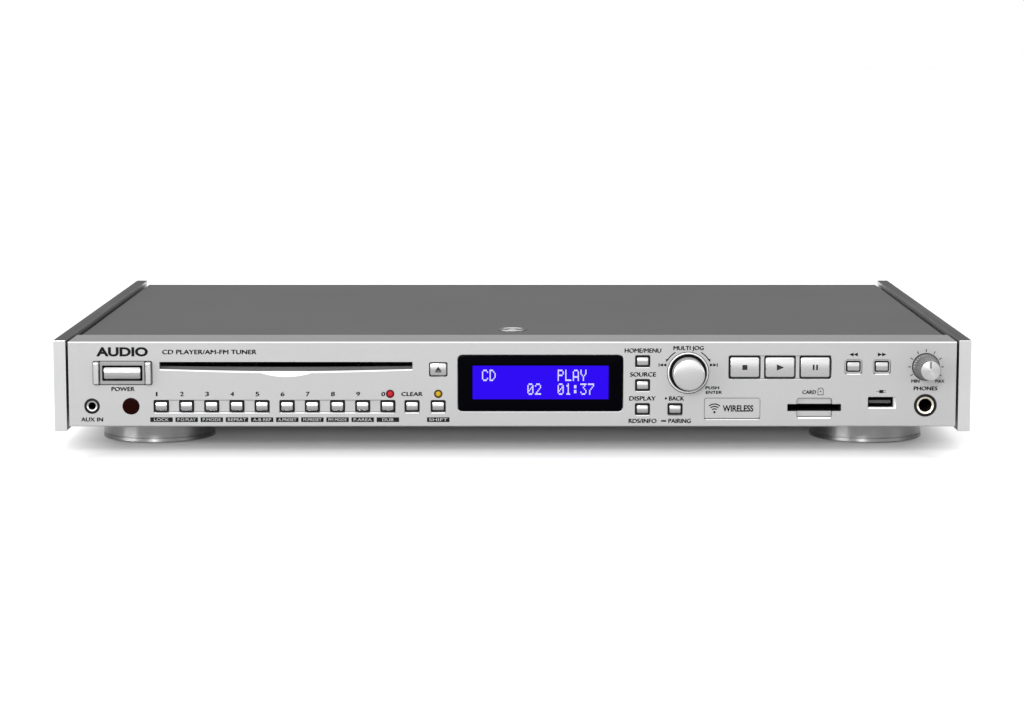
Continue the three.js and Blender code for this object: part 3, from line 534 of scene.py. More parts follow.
def front_panel():
    low, high = size_mm("front_panel")
    top_bevel, foot_bevel, flange = 0.5, 0.45, 2.5
    section = [
        (0, low.z + foot_bevel), (foot_bevel, low.z), (PANEL_THICK, low.z), (PANEL_THICK, high.z - flange),
        (high.y, high.z - flange), (high.y, high.z - 0.25), (high.y - 0.25, high.z),
        (top_bevel, high.z), (0, high.z - top_bevel),
    ]
    panel = linked("front_panel_skin", mesh_of("front_panel_skin",
                   loft([crosswise(section, low.x), crosswise(section, high.x)])))
    card, usb = centre_mm("card_slot"), centre_mm("usb_socket")
    number_channels = [channel(*ends, 0.12) for ends in (("key_1", "key_5"), ("key_6", "key_0"))]
    transport_channel = channel("key_stop", "key_pause", 0.2)
    search_channels = [channel(key, key, 0.8) for key in SEARCH_KEYS]
    card_pocket = (card.x, 20.8, 16.9, 9.35, 1.2)
    shallow = [
        *[pocket(*place, 0.75, 0.45) for place in number_channels],
        pocket(*transport_channel, 0.3, 0.15),
        *[pocket(*place, 0.7, 0.5) for place in search_channels],
        *[pocket(*channel(key, key, 0.1), 0.3, 0.5) for key in SMALL_KEYS],
        *[pocket(*channel(key, key, 0.1), 0.3, 0.25) for key in MENU_KEYS],
        pocket(*card_pocket, 1.5, 0.7),
        pocket(usb.x + 0.35, usb.z, 12.5, 5.0, 0.4, 0.95, 0.75, right=0.75),
        disc_hole(JOG.x, JOG.z, 10.0, depth=0.8, chamfer=0.06),
        seam(BADGE["x"], BADGE["z"], BADGE["width"], BADGE["height"], 1.1, wide=0.34, lit=0.5),
        scoop_cutter(),
    ]
    outlined = [
        *[seam(*place, wide=0.3, deep=1.7) for place in number_channels],
        seam(*transport_channel, wide=0.3, deep=1.5, lit=0.15),
        *[seam(*place, wide=0.22, deep=1.7, lit=0.5) for place in search_channels],
        seam(*card_pocket, wide=0.4, deep=2.4, lit=0.7),
    ]
    aux, phones, infrared = centre_mm("aux_jack"), centre_mm("phones_jack"), centre_mm("infrared_window")
    power, window = centre_mm("power_frame"), centre_mm("display_window")
    deep = [
        slot_cutter(),
        *[hole(key_outline(key), start=0.7, chamfer=0.1) for key in NUMBER_KEYS + SEARCH_KEYS],
        *[hole(key_outline(key), start=0.3, chamfer=0.12) for key in TRANSPORT_KEYS],
        *[hole(key_outline(key), chamfer=0.08) for key in SMALL_KEYS + MENU_KEYS + ["key_eject"]],
        disc_hole(JOG.x, JOG.z, 8.9, start=0.8, depth=3.4, chamfer=0.1),
        disc_hole(JOG.x, JOG.z, 3.8, start=3.4, chamfer=0.05),
        disc_hole(VOLUME.x, VOLUME.z, 3.8, chamfer=0.1),
        disc_hole(aux.x, aux.z, 3.66, chamfer=0.08),
        disc_hole(phones.x, phones.z, 5.36, chamfer=0.1),
        disc_hole(infrared.x, infrared.z, 4.05, chamfer=0.08),
        *[disc_hole(x, z, 2.0, chamfer=0.05) for x, z in LAMPS.values()],
        rectangle_hole(power.x, power.z, 24, 8.6, 0.4, chamfer=0.05),
        rectangle_hole(window.x, window.z, 78.4, 27.0, 2.2, chamfer=0.3),
        rectangle_hole(card.x, card.z + 0.1, 25.6, 3.5, 0.3, chamfer=0.05),
        rectangle_hole(usb.x + 0.35, usb.z, 12.4, 4.9, 0.3, start=0.95, chamfer=0.03),
    ]
    carve(panel, shallow)
    carve(panel, outlined)
    carve(panel, deep)
    finished(panel, FRONT_METAL, replaces=["front_panel"], angle=20)
    # Faces tilted up or to the left, and the foot bevel, take the bright cut metal: a painted highlight.
    panel.data.materials.append(LIT_CUT_METAL)
    for polygon in panel.data.polygons:
        across, _, up = polygon.normal
        at_foot = polygon.center.z < (low.z + foot_bevel) * MM and up > -0.95
        polygon.material_index = 1 if 0.3 < up < 0.95 or -0.9 < across < -0.5 or at_foot else 0


def key_wells():
    """Black liners in the key holes, which leave a dark line round each cap: painted shade in the gaps."""
    shapes = []
    for key, (width, height, gap) in CAP.items():
        place, clear = centre_mm(key), 0.14
        front = 0.85 if key in NUMBER_KEYS + SEARCH_KEYS else 0.45
        outer = rounded(place.x, place.z, width + 2 * gap - 0.04, height + 2 * gap - 0.04, 0.75)
        inner = rounded(place.x, place.z, width + 2 * clear, height + 2 * clear, 0.7)
        shapes.append(tube([facing(outer, front), facing(outer, PANEL_THICK - 0.1),
                            facing(inner, PANEL_THICK - 0.1), facing(inner, front)]))
    make("key_wells", together(*shapes), BLACK_PLASTIC)


front_panel()
slot_felt()
key_wells()


# ---- casing

def refined(name, material, edge=0.3):
    """Keeps a CAD node's shape, and gives it its material and softly rounded edges."""
    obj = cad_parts[name]
    obj.data.materials.clear()
    obj.data.materials.append(material)
    if edge:
        weld = obj.modifiers.new("weld", "WELD")
        weld.merge_threshold = 0.00001
        bevel = obj.modifiers.new("edges", "BEVEL")
        bevel.width = edge * MM
        bevel.segments = 2
        bevel.limit_method = "ANGLE"
        bevel.angle_limit = math.radians(40)
        bevel.harden_normals = True


for name, material, edge in (
    ("side_panel_left", SIDE_METAL, 0.35), ("side_panel_right", SIDE_METAL, 0.35),
    ("top_cover", COVER_PAINT, 0.25), ("rear_panel", REAR_PAINT, 0.15), ("chassis_base", ZINC, 0.15),
):
    refined(name, material, edge)


def foot(corner):
    """A turned foot with a polished chamfer, a fine groove near the top and turning marks."""
    low, high = size_mm(f"foot_{corner}")
    cx, cy = (low.x + high.x) / 2, (low.y + high.y) / 2
    radius, top = (high.x - low.x) / 2, high.z
    bottom, pad = 0.4, 22.5
    profile = [
        (0, 1.5), (pad, 1.5), (pad, bottom), (radius - 0.35, bottom), (radius - 0.1, 0.6), (radius, 0.9),
        (radius - 0.22, 2.25), (radius - 0.5, 2.4), (radius - 0.5, 2.65), (radius - 0.25, 2.8),
        (radius - 0.25, top - 0.5), (radius - 0.75, top), (0, top),
    ]
    make(f"foot_{corner}_turned", turned_up(profile, cx, cy, 96), FOOT_METAL,
         replaces=[f"foot_{corner}"], angle=25)
    refined(f"foot_pad_{corner}", RUBBER, 0.2)


for end in ("front", "rear"):
    for hand in ("left", "right"):
        foot(f"{end}_{hand}")


# ---- keys

def bowed_cap(place, size, depths, bow, power, edge, radius, steps, count=4):
    """A cap whose face bows forward about a line across its middle. depths is its front and its back.
    edge lists how far each loop round the face is inset and set back."""
    width, height = size
    front, back = depths

    def face(z):
        return front + bow * abs(2 * (z - place.z) / height) ** power
    loops = [facing(rounded(place.x, place.z, width, height, radius, count), back)]
    for inset, sink in edge:
        outline = rounded(place.x, place.z, width - 2 * inset, height - 2 * inset, max(0.05, radius - inset),
                          count)
        loops.append([(x, face(z) + sink, z) for x, z in outline])
    points, faces = loft(loops)
    faces.pop()
    start = len(points) - len(loops[-1])
    return cap_face(points, faces, start, len(loops[-1]), face, place, steps)


def key_cap(key, bow, power, round_edge=0.3, radius=0.6, steps=8):
    low, high = size_mm(key)
    turns = [math.radians(90 * i / 4) for i in range(5)]
    edge = [(round_edge * (1 - math.cos(turn)), round_edge * (1 - math.sin(turn))) for turn in turns]
    depths = (low.y + CAP_BACK, high.y)
    return bowed_cap(centre_mm(key), CAP[key][:2], depths, bow, power, edge, radius, steps)


def cap_face(points, faces, start, count, face, place, steps):
    """Fills a cap's front with rows that follow its bow, so that the curve shows in the reflections."""
    loop = points[start:start + count]
    left = sorted((i for i in range(count) if loop[i][0] < place.x), key=lambda i: loop[i][2])
    right = sorted((i for i in range(count) if loop[i][0] > place.x), key=lambda i: loop[i][2])
    for a, b, c, d in zip(left, right, right[1:], left[1:], strict=False):
        low, high = loop[a][2], loop[d][2]
        rows = steps if high - low > 1 else 1
        previous = (start + a, start + b)
        for i in range(1, rows + 1):
            if i == rows:
                current = (start + d, start + c)
            else:
                z = low + (high - low) * i / rows
                current = (len(points), len(points) + 1)
                points = points + [(loop[a][0], face(z), z), (loop[b][0], face(z), z)]
            faces.append((previous[0], previous[1], current[1], current[0]))
            previous = current
    return points, faces


for key in NUMBER_KEYS + SMALL_KEYS + MENU_KEYS + SEARCH_KEYS:
    make(f"{key}_cap", key_cap(key, 0.42, 1.5), KEY_SILVER, key, [key])
for key in TRANSPORT_KEYS:
    make(f"{key}_cap", key_cap(key, 0.5, 1.8, 0.45, 0.9, 10), WIDE_KEY_SILVER, key, [key])
make("key_eject_cap", key_cap("key_eject", 0.4, 1.8, 0.4, 0.8), KEY_SILVER, "key_eject", ["key_eject"])


# ---- power button

def power_frame():
    """A cast frame: convex cheeks at its ends, low bars between them, and a dark mouth for the button."""
    low, high = size_mm("power_frame")
    place = (low + high) / 2
    cheek, mouth = 3.1, (18.5, 6.9)
    shapes = []
    for side in (-1, 1):
        cx = place.x + side * ((high.x - low.x) - cheek) / 2
        bulge = pane(cx, place.z, cheek, high.z - low.z, 0.8)
        loops = [bulge(0, -0.02)]
        for i in range(7):
            turn = math.radians(90 * i / 6)
            loops.append(bulge(0.85 * (1 - math.cos(turn)), -1.1 - 1.5 * math.sin(turn)))
        shapes.append(loft(loops))
    across, tall = high.x - low.x - 2 * cheek - 0.5, high.z - low.z

    def bezel(width, height, y):
        return facing(rounded(place.x, place.z, width, height, 0.25, 3), y)
    bars = tube([bezel(across, tall, -0.02), bezel(across, tall, -0.55),
                 bezel(across - 0.1, tall - 0.6, -0.8), bezel(mouth[0] + 0.7, mouth[1] + 0.5, -0.8),
                 bezel(*mouth, -0.3), bezel(*mouth, -0.02)])
    # The bars take the darker metal, a painted shade.
    make("power_frame_bars", bars, SHADED_FRAME_METAL)
    make("power_frame_cast", together(*shapes), CHROME, replaces=["power_frame"])
    outer = rounded(place.x, place.z, mouth[0] + 1.6, mouth[1] + 0.9, 0.3)
    inner = rounded(place.x, place.z, mouth[0] - 0.02, mouth[1] - 0.02, 0.3)
    loops = [facing(outer, 0.4), facing(outer, 4.8), facing(inner, 4.8), facing(inner, 0.4)]
    make("power_frame_sleeve", tube(loops), BLACK_PLASTIC)


def power_frame_shadow_ring():
    # A thin black ring on the panel's face round the frame: a painted contact shadow.
    low, high = size_mm("power_frame")
    place, width, height = (low + high) / 2, high.x - low.x, high.z - low.z
    edge = 0.3
    outer = rounded(place.x, place.z, width + 2 * edge, height + 2 * edge, 1.0)
    inner = rounded(place.x, place.z, width - 1, height - 1, 0.5)
    make("power_frame_painted_shadow", tube([facing(outer, 0.02), facing(outer, -0.1), facing(inner, -0.1),
                                     facing(inner, 0.02)]), BLACK_PLASTIC)


def power_button():
    low, high = size_mm("key_power")
    cap = bowed_cap(centre_mm("key_power"), (17.3, 5.8), (low.y, high.y), bow=0.95, power=2,
                    edge=((0, 0.3), (0.1, 0.1), (0.3, 0)), radius=0.7, steps=12, count=5)
    make("key_power_cap", cap, KEY_SILVER, "key_power", ["key_power"])


power_frame()
power_frame_shadow_ring()
power_button()


# ---- display

# Each character is seven rows of five dots, as the five bits of a number.
DOTS = {
    "C": (14, 17, 16, 16, 16, 17, 14), "D": (28, 18, 17, 17, 17, 18, 28), "P": (30, 17, 17, 30, 16, 16, 16),
    "L": (16, 16, 16, 16, 16, 16, 31), "A": (14, 17, 17, 17, 31, 17, 17), "Y": (17, 17, 17, 10, 4, 4, 4),
    "0": (14, 17, 19, 21, 25, 17, 14), "1": (4, 12, 4, 4, 4, 4, 14), "2": (14, 17, 1, 2, 4, 8, 31),
    "3": (31, 2, 4, 2, 1, 17, 14), "7": (31, 1, 2, 4, 8, 8, 8), ":": (0, 12, 12, 0, 12, 12, 0),
}
LCD_ROWS = ("CD        PLAY  ", "      02  01:37 ")


def display():
    low, high = size_mm("display_window")
    middle = (low + high) / 2
    around = pane(middle.x, middle.z, high.x - low.x, high.z - low.z, 2.0, 8)

    def opening(grow, y):
        width, height = LCD["width"] + 2 * grow, LCD["height"] + 2 * grow
        return facing(rounded(LCD["x"], LCD["z"], width, height, 0.3, 8), y)
    make("display_window_glass", tube([
        around(0, high.y), around(0, low.y + 0.25), around(0.08, low.y + 0.08), around(0.25, low.y),
        opening(0.06, low.y), opening(0, low.y + 0.06), opening(0, high.y)]),
        GLOSS_BLACK, replaces=["display_window"])
    half, tall = LCD["width"] / 2 - 0.02, LCD["height"] / 2 - 0.02
    front = low.y + 0.3
    glass = box((LCD["x"] - half, LCD["x"] + half), (front, high.y), (LCD["z"] - tall, LCD["z"] + tall))
    make("lcd_glass", glass, LCD_BLUE, replaces=["lcd_module"])
    carrier = box((LCD["x"] - half - 4, LCD["x"] + half + 4), (high.y + 0.3, high.y + 5),
                  (LCD["z"] - tall - 4, LCD["z"] + tall + 4))
    make("lcd_carrier", carrier, BLACK_PLASTIC)
    pitch, line, dot_width, dot_height, step, climb = 3.59, 6.6, 0.52, 0.72, 0.58, 0.78
    left, top, dot_depth = LCD["x"] - 27.5, LCD["z"] + 5.75, (front - 0.03, front + 0.01)
    dots = []
    for row, text in enumerate(LCD_ROWS):
        for column, letter in enumerate(text):
            for y, bits in enumerate(DOTS.get(letter, ())):
                for x in range(5):
                    if bits >> (4 - x) & 1:
                        cx = left + column * pitch + x * step
                        cz = top - row * line - y * climb
                        dots.append(box((cx - dot_width / 2, cx + dot_width / 2), dot_depth,
                                        (cz - dot_height / 2, cz + dot_height / 2)))
    make("lcd_characters", together(*dots), LCD_WHITE)


display()


# ---- infrared window and lamps

def dome(name, x, z, radius, proud, back, material, **options):
    """A lens with a gently domed face."""
    profile = [(0, -proud)]
    for i in range(1, 6):
        turn = math.radians(90 * i / 5)
        profile.append((radius * math.sin(turn * 0.999),
                        -proud * math.cos(turn) + 0.2 * (1 - math.cos(turn))))
    make(name, turned([*profile, (radius, back), (0, back)], x, z), material, **options)


infrared = centre_mm("infrared_window")
dome("infrared_lens", infrared.x, infrared.z, 3.98, 0.1, 4, DARK_RED, replaces=["infrared_window"])
for name, (x, z) in LAMPS.items():
    lit, edge = (LAMP_RED, LAMP_RED_EDGE) if name == "lamp_red" else (LAMP_AMBER, LAMP_AMBER_EDGE)
    dome(name, x, z, 1.2, 0.35, 6, lit)
    make(f"{name}_ring", ring([(1.97, -0.04), (1.97, 2.5), (1.22, 2.5), (1.22, -0.04)], x, z, 32), edge)


# ---- knobs

def jog():
    """A plain domed cap, standing out of a round well with a raised ring and a thin dark line of painted
    shade about it.
    """
    low, high = size_mm("jog_knob")
    radius = (high.x - low.x) / 2
    profile = [(0, low.y), (radius * 0.35, low.y + 0.05), (radius * 0.6, low.y + 0.17),
               (radius * 0.8, low.y + 0.36), (radius * 0.9, low.y + 0.5), (radius - 0.25, low.y + 0.68),
               (radius - 0.06, low.y + 0.85), (radius, low.y + 1.1), (radius, high.y - 0.2),
               (radius - 0.2, high.y), (2.6, high.y), (2.6, low.y + 2.6), (0, low.y + 2.6)]
    cap = make("jog_cap", turned(profile, JOG.x, JOG.z, 96), JOG_METAL, "jog_knob", ["jog_knob"])
    side_of(cap, JOG_SIDE, low.y + 0.6)
    well = [(8.86, 0.32), (8.86, 3.4), (2.9, 3.4), (2.9, 2.9), (8.3, 2.9), (8.5, 2.7), (8.5, 0.32)]
    make("jog_well", ring(well, JOG.x, JOG.z, 72), BLACK_PLASTIC)
    collar = [(9.68, 0.75), (9.68, -0.1), (9.56, -0.33), (9.35, -0.42), (9.1, -0.35), (8.9, -0.1),
              (8.9, 0.75)]
    make("jog_collar", ring(collar, JOG.x, JOG.z, 96), COLLAR_METAL)
    # A black ring in the gap round the collar: painted shade.
    shade = [(9.99, 0.3), (9.99, 0.78), (9.69, 0.78), (9.69, 0.3)]
    make("jog_painted_shade_ring", ring(shade, JOG.x, JOG.z, 96), BLACK_PLASTIC)


def side_of(cap, material, front):
    """Gives a turned cap's faces behind a depth their own material."""
    cap.data.materials.append(material)
    start = (TO_ROW @ Vector((0, front, 0))).y
    for polygon in cap.data.polygons:
        if polygon.center.y > start:
            polygon.material_index = len(cap.data.materials) - 1


def volume():
    """A tapered knob with fine flutes, a smooth rim, and a pointer line from near its middle to its edge."""
    low, high = size_mm("volume_knob")
    base, face_radius, flutes = 6.3, 4.6, 30
    count = flutes * 6
    front, back = low.y, high.y

    def fluted(radius, y, depth):
        loop = []
        for i in range(count):
            turn = 2 * math.pi * i / count
            r = radius - depth * (0.5 - 0.5 * math.cos(turn * flutes)) ** 2
            loop.append((VOLUME.x + r * math.cos(turn), y, VOLUME.z + r * math.sin(turn)))
        return loop
    profile = [
        (face_radius - 0.45, front, 0), (face_radius - 0.15, front + 0.08, 0), (face_radius, front + 0.3, 0),
        (face_radius + 0.02, front + 0.7, 0), (face_radius + 0.04, front + 1.0, 0.3),
        (base - 0.45, back - 2.0, 0.38), (base - 0.3, back - 1.6, 0), (base - 0.02, back - 1.45, 0),
        (base, back - 1.2, 0), (base, back, 0), (2.45, back, 0), (2.45, back - 8, 0),
    ]
    loops = [fluted(*row) for row in profile]
    cap = make("volume_cap", loft(loops), KNOB_FACE, "volume_knob", ["volume_knob"])
    side_of(cap, KNOB_SIDE, front + 0.5)
    # The knob's back band is near black, a painted shade.
    side_of(cap, KNOB_RIM_SHADE, back - 1.55)
    pointer = box((VOLUME.x - 0.26, VOLUME.x + 0.26), (front - 0.012, front + 0.288),
                  (VOLUME.z + 1.1, VOLUME.z + 4.45))
    make("volume_pointer", pointer, INK, "volume_knob")
    # A black ring on the panel round the knob's base: painted shadow.
    shade = [(6.62, -0.03), (6.62, 0.02), (5.5, 0.02), (5.5, -0.03)]
    make("volume_painted_shadow_ring", ring(shade, VOLUME.x, VOLUME.z, 72), BLACK_PLASTIC)


jog()
volume()


# ---- sockets on the front

def front_jack(name, sleeve_radius, nut_radius, hole_radius, nut, collar_at=-0.3):
    """A round jack: a black sleeve in the panel, a bright nut inside it, and a dark barrel behind."""
    x, _, z = centre_mm(name)
    make(f"{name}_sleeve", ring([(sleeve_radius, 0.05), (sleeve_radius - 0.12, collar_at + 0.05),
                                 (sleeve_radius - 0.3, collar_at), (nut_radius + 0.15, collar_at),
                                 (nut_radius + 0.03, collar_at + 0.2), (nut_radius + 0.03, 5.5),
                                 (sleeve_radius, 5.5)], x, z, 64), BLACK_PLASTIC)
    make(f"{name}_nut", ring([(nut_radius, 5.3), (nut_radius, 0.3), (nut_radius - 0.15, 0.0),
                              (nut_radius - 0.25, 0.0), (hole_radius + 0.05, 0.42), (hole_radius, 0.6),
                              (hole_radius, 5.3)], x, z, 64), nut)
    low, high = size_mm(name)
    half = (high.x - low.x) / 2
    make(f"{name}_body", together(
        ring([(half, 6), (half, high.y), (hole_radius, high.y - 1.5), (hole_radius, 6)], x, z, 32),
        ring([(hole_radius, 5.32), (hole_radius + 1.0, 5.32), (hole_radius + 1.0, 5.98), (hole_radius, 5.98)],
             x, z, 32),
        turned([(0, -1.49), (hole_radius - 0.02, -1.49), (hole_radius - 0.02, -0.5), (0, -0.5)], x, z, 32,
               at=high.y)),
        BLACK_PLASTIC, replaces=[name])


front_jack("aux_jack", 3.6, 2.65, 1.75, SOCKET_STEEL, collar_at=-0.25)
front_jack("phones_jack", 5.3, 4.2, 3.15, WARM_METAL)


def usb():
    low, high = size_mm("usb_socket")
    middle = (low + high) / 2
    shell = pane(middle.x, middle.z, high.x - low.x, high.z - low.z, 0.6)
    make("usb_can", tube([shell(0, high.y), shell(0, low.y + 0.95), shell(0.15, low.y + 0.8),
                          shell(0.35, low.y + 0.8), shell(0.5, low.y + 0.95), shell(0.5, high.y)]),
         SOCKET_STEEL, replaces=["usb_socket"])
    wall = 0.52
    end = [shell(wall, high.y), shell(wall, high.y - 1), shell(wall + 0.01, high.y - 1.01)]
    make("usb_lining", loft(end), BLACK_PLASTIC)
    lining = [shell(wall, 2.2), shell(wall, high.y - 1.02), shell(wall + 0.12, high.y - 1.02),
              shell(wall + 0.12, 2.2)]
    make("usb_sleeve", tube(lining), BLACK_PLASTIC)
    make("usb_tongue", box((middle.x - 5.2, middle.x + 5.2), (2.6, high.y - 1.1),
                           (middle.z - 0.8, middle.z + 0.55)), GREY_PLASTIC)
    contacts = [box((middle.x + dx - 0.5, middle.x + dx + 0.5), (3.2, high.y - 2),
                    (middle.z - 0.9, middle.z - 0.81)) for dx in (-3.5, -1.2, 1.2, 3.5)]
    make("usb_contacts", together(*contacts), WARM_METAL)


usb()


def card():
    back = size_mm("card_slot")[1].y
    x, z = centre_mm("card_slot").x, 20.65
    width, height = 25.1, 3.0

    def wall(grow, y):
        return facing(rounded(x, z, width + 2 * grow, height + 2 * grow, 0.3), y)
    make("card_liner", tube([wall(0.24, back), wall(0.24, 1.55), wall(0.0, 1.55), wall(0, back)]),
         BLACK_PLASTIC, replaces=["card_slot"])
    make("card_end", loft([wall(-0.02, back - 2), wall(-0.02, back - 0.5)]), BLACK_PLASTIC)


card()


# ---- printed legends and symbols

def letters(text, weight=0.0):
    """The points and faces of a text as flat solid letters. weight thickens their strokes."""
    data = bpy.data.curves.new("text", "FONT")
    data.body = text
    data.extrude = 0.5
    data.offset = weight
    data.resolution_u = 4
    obj = linked("text", data)
    bpy.context.view_layer.update()
    mesh = bpy.data.meshes.new_from_object(obj.evaluated_get(bpy.context.evaluated_depsgraph_get()))
    points = [tuple(v.co) for v in mesh.vertices]
    faces = [tuple(f.vertices) for f in mesh.polygons]
    bpy.data.objects.remove(obj)
    return points, faces


CAPITAL = max(p[1] for p in letters("H")[0])
PROUD = 0.02


def legend(text, x, z, width, height, proud=PROUD, at=0.0, rear=False, weight=0.0, smear=0.14):
    """Letters printed on the front at depth at, or with rear on the back, to a width and capital height.
    Small letters are printed twice, smear apart each way, which thickens their strokes."""
    points, faces = letters(text, weight)
    left, right = min(p[0] for p in points), max(p[0] for p in points)
    turn = -1 if rear else 1
    shapes = []
    for shift in ((-smear, smear) if smear else (0,)):
        placed = [(x + shift + turn * ((a - left) / (right - left) - 0.5) * width,
                   at - turn * (c + 0.5) * proud + turn * (0.5 - c) * 0.01,
                   z + shift * 0.6 + ((b + weight) / (CAPITAL + 2 * weight) - 0.5) * height)
                  for a, b, c in points]
        shapes.append((placed, faces))
    return together(*shapes)


def plate(outline, at=0.0, buried=0.08):
    """A thin solid with the outline of a symbol, standing a little out of a surface at depth at."""
    return loft([facing(outline, at - PROUD), facing(outline, at + buried)])


def triangle(x, z, width, height, point=1):
    return [(x - point * width / 2, z - height / 2), (x + point * width / 2, z),
            (x - point * width / 2, z + height / 2)][::point]


def bar(x, z, width, height):
    return [(x - width / 2, z - height / 2), (x + width / 2, z - height / 2),
            (x + width / 2, z + height / 2), (x - width / 2, z + height / 2)]


def arc(x, z, radius, start, end, wide, count=14):
    turns = [math.radians(start + (end - start) * i / count) for i in range(count + 1)]
    inner = [(x + (radius - wide / 2) * math.cos(a), z + (radius - wide / 2) * math.sin(a)) for a in turns]
    outer = [(x + (radius + wide / 2) * math.cos(a), z + (radius + wide / 2) * math.sin(a)) for a in turns]
    return inner + outer[::-1]


def line(x0, z0, x1, z1, wide):
    along = Vector((x1 - x0, z1 - z0)).normalized() * wide / 2
    return [(x0 - along.y, z0 + along.x), (x0 + along.y, z0 - along.x),
            (x1 + along.y, z1 - along.x), (x1 - along.y, z1 + along.x)][::-1]


WORDS = [
    ("CD PLAYER/AM-FM TUNER", -143.5, 47.4, 44.6, 2.05),
    ("POWER", -184.7, 29.7, 10.9, 1.9), ("AUX IN", -199.7, 15.1, 10.3, 1.9),
    ("CLEAR", -47.6, 27.3, 10.0, 1.85), ("HOME/MENU", 61.9, 48.1, 17.2, 2.0),
    ("SOURCE", 62.0, 36.7, 12.2, 2.0), ("DISPLAY", 61.8, 25.2, 12.4, 2.0),
    ("RDS/INFO", 61.9, 14.4, 13.1, 2.0), ("BACK", 78.0, 25.2, 7.1, 2.0), ("PAIRING", 79.5, 14.4, 10.5, 2.0),
    ("MULTI JOG", 83.5, 49.3, 14.2, 1.9), ("PUSH", 94.9, 30.3, 6.3, 1.35), ("ENTER", 95.7, 28.1, 7.5, 1.35),
    ("CARD", 140.9, 28.2, 6.4, 1.7), ("PHONES", 196.1, 30.0, 11.1, 1.8), ("MIN", 191.2, 33.5, 3.8, 1.5),
    ("MAX", 202.8, 33.5, 4.2, 1.5),
]
SECOND_ROLES = {
    **dict(zip(NUMBER_KEYS, ("LOCK", "P.O.PLAY", "P.MODE", "REPEAT", "A-B REP", "A.PRESET", "M.PRESET",
                             "FM MODE", "P.AREA", "DUB"), strict=True)),
    "key_shift": "SHIFT",
}


def front_legends():
    shapes = [legend("AUDIO", -184.9, 47.5, 24.6, 4.4, weight=0.045, smear=0),
              legend("WIRELESS", 107.2, 20.4, 14.6, 3.1, weight=0.034, smear=0),
              *[legend(*word) for word in WORDS]]
    for key in NUMBER_KEYS:
        narrow = key == "key_1"
        shapes.append(legend(key[-1], centre_mm(key).x - 2.1, 27.3, 0.75 if narrow else 1.7, 2.0,
                             smear=0.04 if narrow else 0.14))
    shapes.append(plate(circle(72.9, 25.2, 0.55, 16)))
    shapes.append(plate(bar(71.9, 14.4, 2.4, 0.8)))
    reach, sweep = 11.5, 26.9
    for side, start in ((-1, 121.7), (1, 31.4)):
        shapes.append(plate(arc(JOG.x, JOG.z, reach, start, start + sweep, 0.5)))
        tip = math.radians(start + sweep if side < 0 else start)
        x, z = JOG.x + reach * math.cos(tip), JOG.z + reach * math.sin(tip)
        shapes.append(plate([(x - 0.7, z + 0.6), (x + side * 0.6, z - 0.95), (x + 0.7, z + 0.6)]))
        near = JOG.x + side * 10.35
        shapes += [plate(triangle(near + side * dx, 41.2, 1.65, 1.65, side)) for dx in (0.8, 2.4)]
        shapes.append(plate(bar(near + side * 3.45, 41.2, 0.45, 1.65)))
    for key, side in (("key_search_back", -1), ("key_search_forward", 1)):
        x = centre_mm(key).x
        shapes += [plate(triangle(x + dx, 46.2, 2.05, 1.85, side)) for dx in (-1.0, 1.0)]
    card_icon = [(144.9, 26.8), (147.7, 26.8), (147.7, 29.6), (147.0, 30.3), (145.6, 30.3), (144.9, 29.6)]
    inner = [(x + (0.28 if x < 146.3 else -0.28), z + (0.28 if z < 28 else -0.28)) for x, z in card_icon]
    shapes.append(tube([facing(card_icon, -PROUD), facing(card_icon, 0.05), facing(inner, 0.05),
                        facing(inner, -PROUD)]))
    shapes.append(plate(triangle_up(146.3, 28.7, 1.0, 0.8)))
    shapes += plug_symbol(175.2, 28.5)
    near, far = 7.1, 8.5
    for i in range(9):
        turn = math.radians(210 - 30 * i)
        shapes.append(plate(line(VOLUME.x + near * math.cos(turn), VOLUME.z + near * math.sin(turn),
                                 VOLUME.x + far * math.cos(turn), VOLUME.z + far * math.sin(turn), 0.4)))
    shapes.append(plate(circle(96.0, 18.6, 0.55, 16)))
    shapes += [plate(arc(96.0, 18.6, radius, 48, 132, 0.55)) for radius in (1.6, 2.75, 3.9)]
    make("front_legends", together(*shapes), INK)
    role_z = 15.0
    boxes = [plate(bar(centre_mm(key).x, role_z, 10.7, 2.26)) for key in SECOND_ROLES]
    make("role_boxes", together(*boxes), BOX_INK)
    roles = [legend(text, centre_mm(key).x, role_z, 8.6 if len(text) > 5 else 1.75 * len(text), 1.3, 0.03,
                    smear=0) for key, text in SECOND_ROLES.items()]
    make("role_legends", together(*roles), PALE_INK)


def triangle_up(x, z, width, height):
    return [(x - width / 2, z - height / 2), (x + width / 2, z - height / 2), (x, z + height / 2)]


def plug_symbol(x, z):
    """A plain plug with two pins on a short lead."""
    return [plate(bar(x - 1.7, z, 1.4, 0.24)), plate(bar(x - 0.1, z, 1.9, 1.5)),
            plate(bar(x + 1.4, z + 0.4, 1.1, 0.26)), plate(bar(x + 1.4, z - 0.4, 1.1, 0.26))]


def key_symbols():
    """The dark symbols on the transport keys."""
    symbols = {
        "key_stop": [bar(0, 0, 2.4, 2.4)],
        "key_play": [triangle(0.15, 0, 3.4, 3.0)],
        "key_pause": [bar(-0.8, 0, 0.85, 2.6), bar(0.8, 0, 0.85, 2.6)],
        "key_eject": [triangle_up(0, 0.35, 3.0, 1.9), bar(0, -1.1, 3.0, 0.55)],
    }
    for key, outlines in symbols.items():
        place, front = centre_mm(key), size_mm(key)[0].y + CAP_BACK
        moved = [[(place.x + x, place.z + z) for x, z in outline] for outline in outlines]
        make(f"{key}_symbol", together(*[plate(m, front, buried=0.4) for m in moved]), KEY_INK, key)


front_legends()
key_symbols()


# ---- badge on the cover

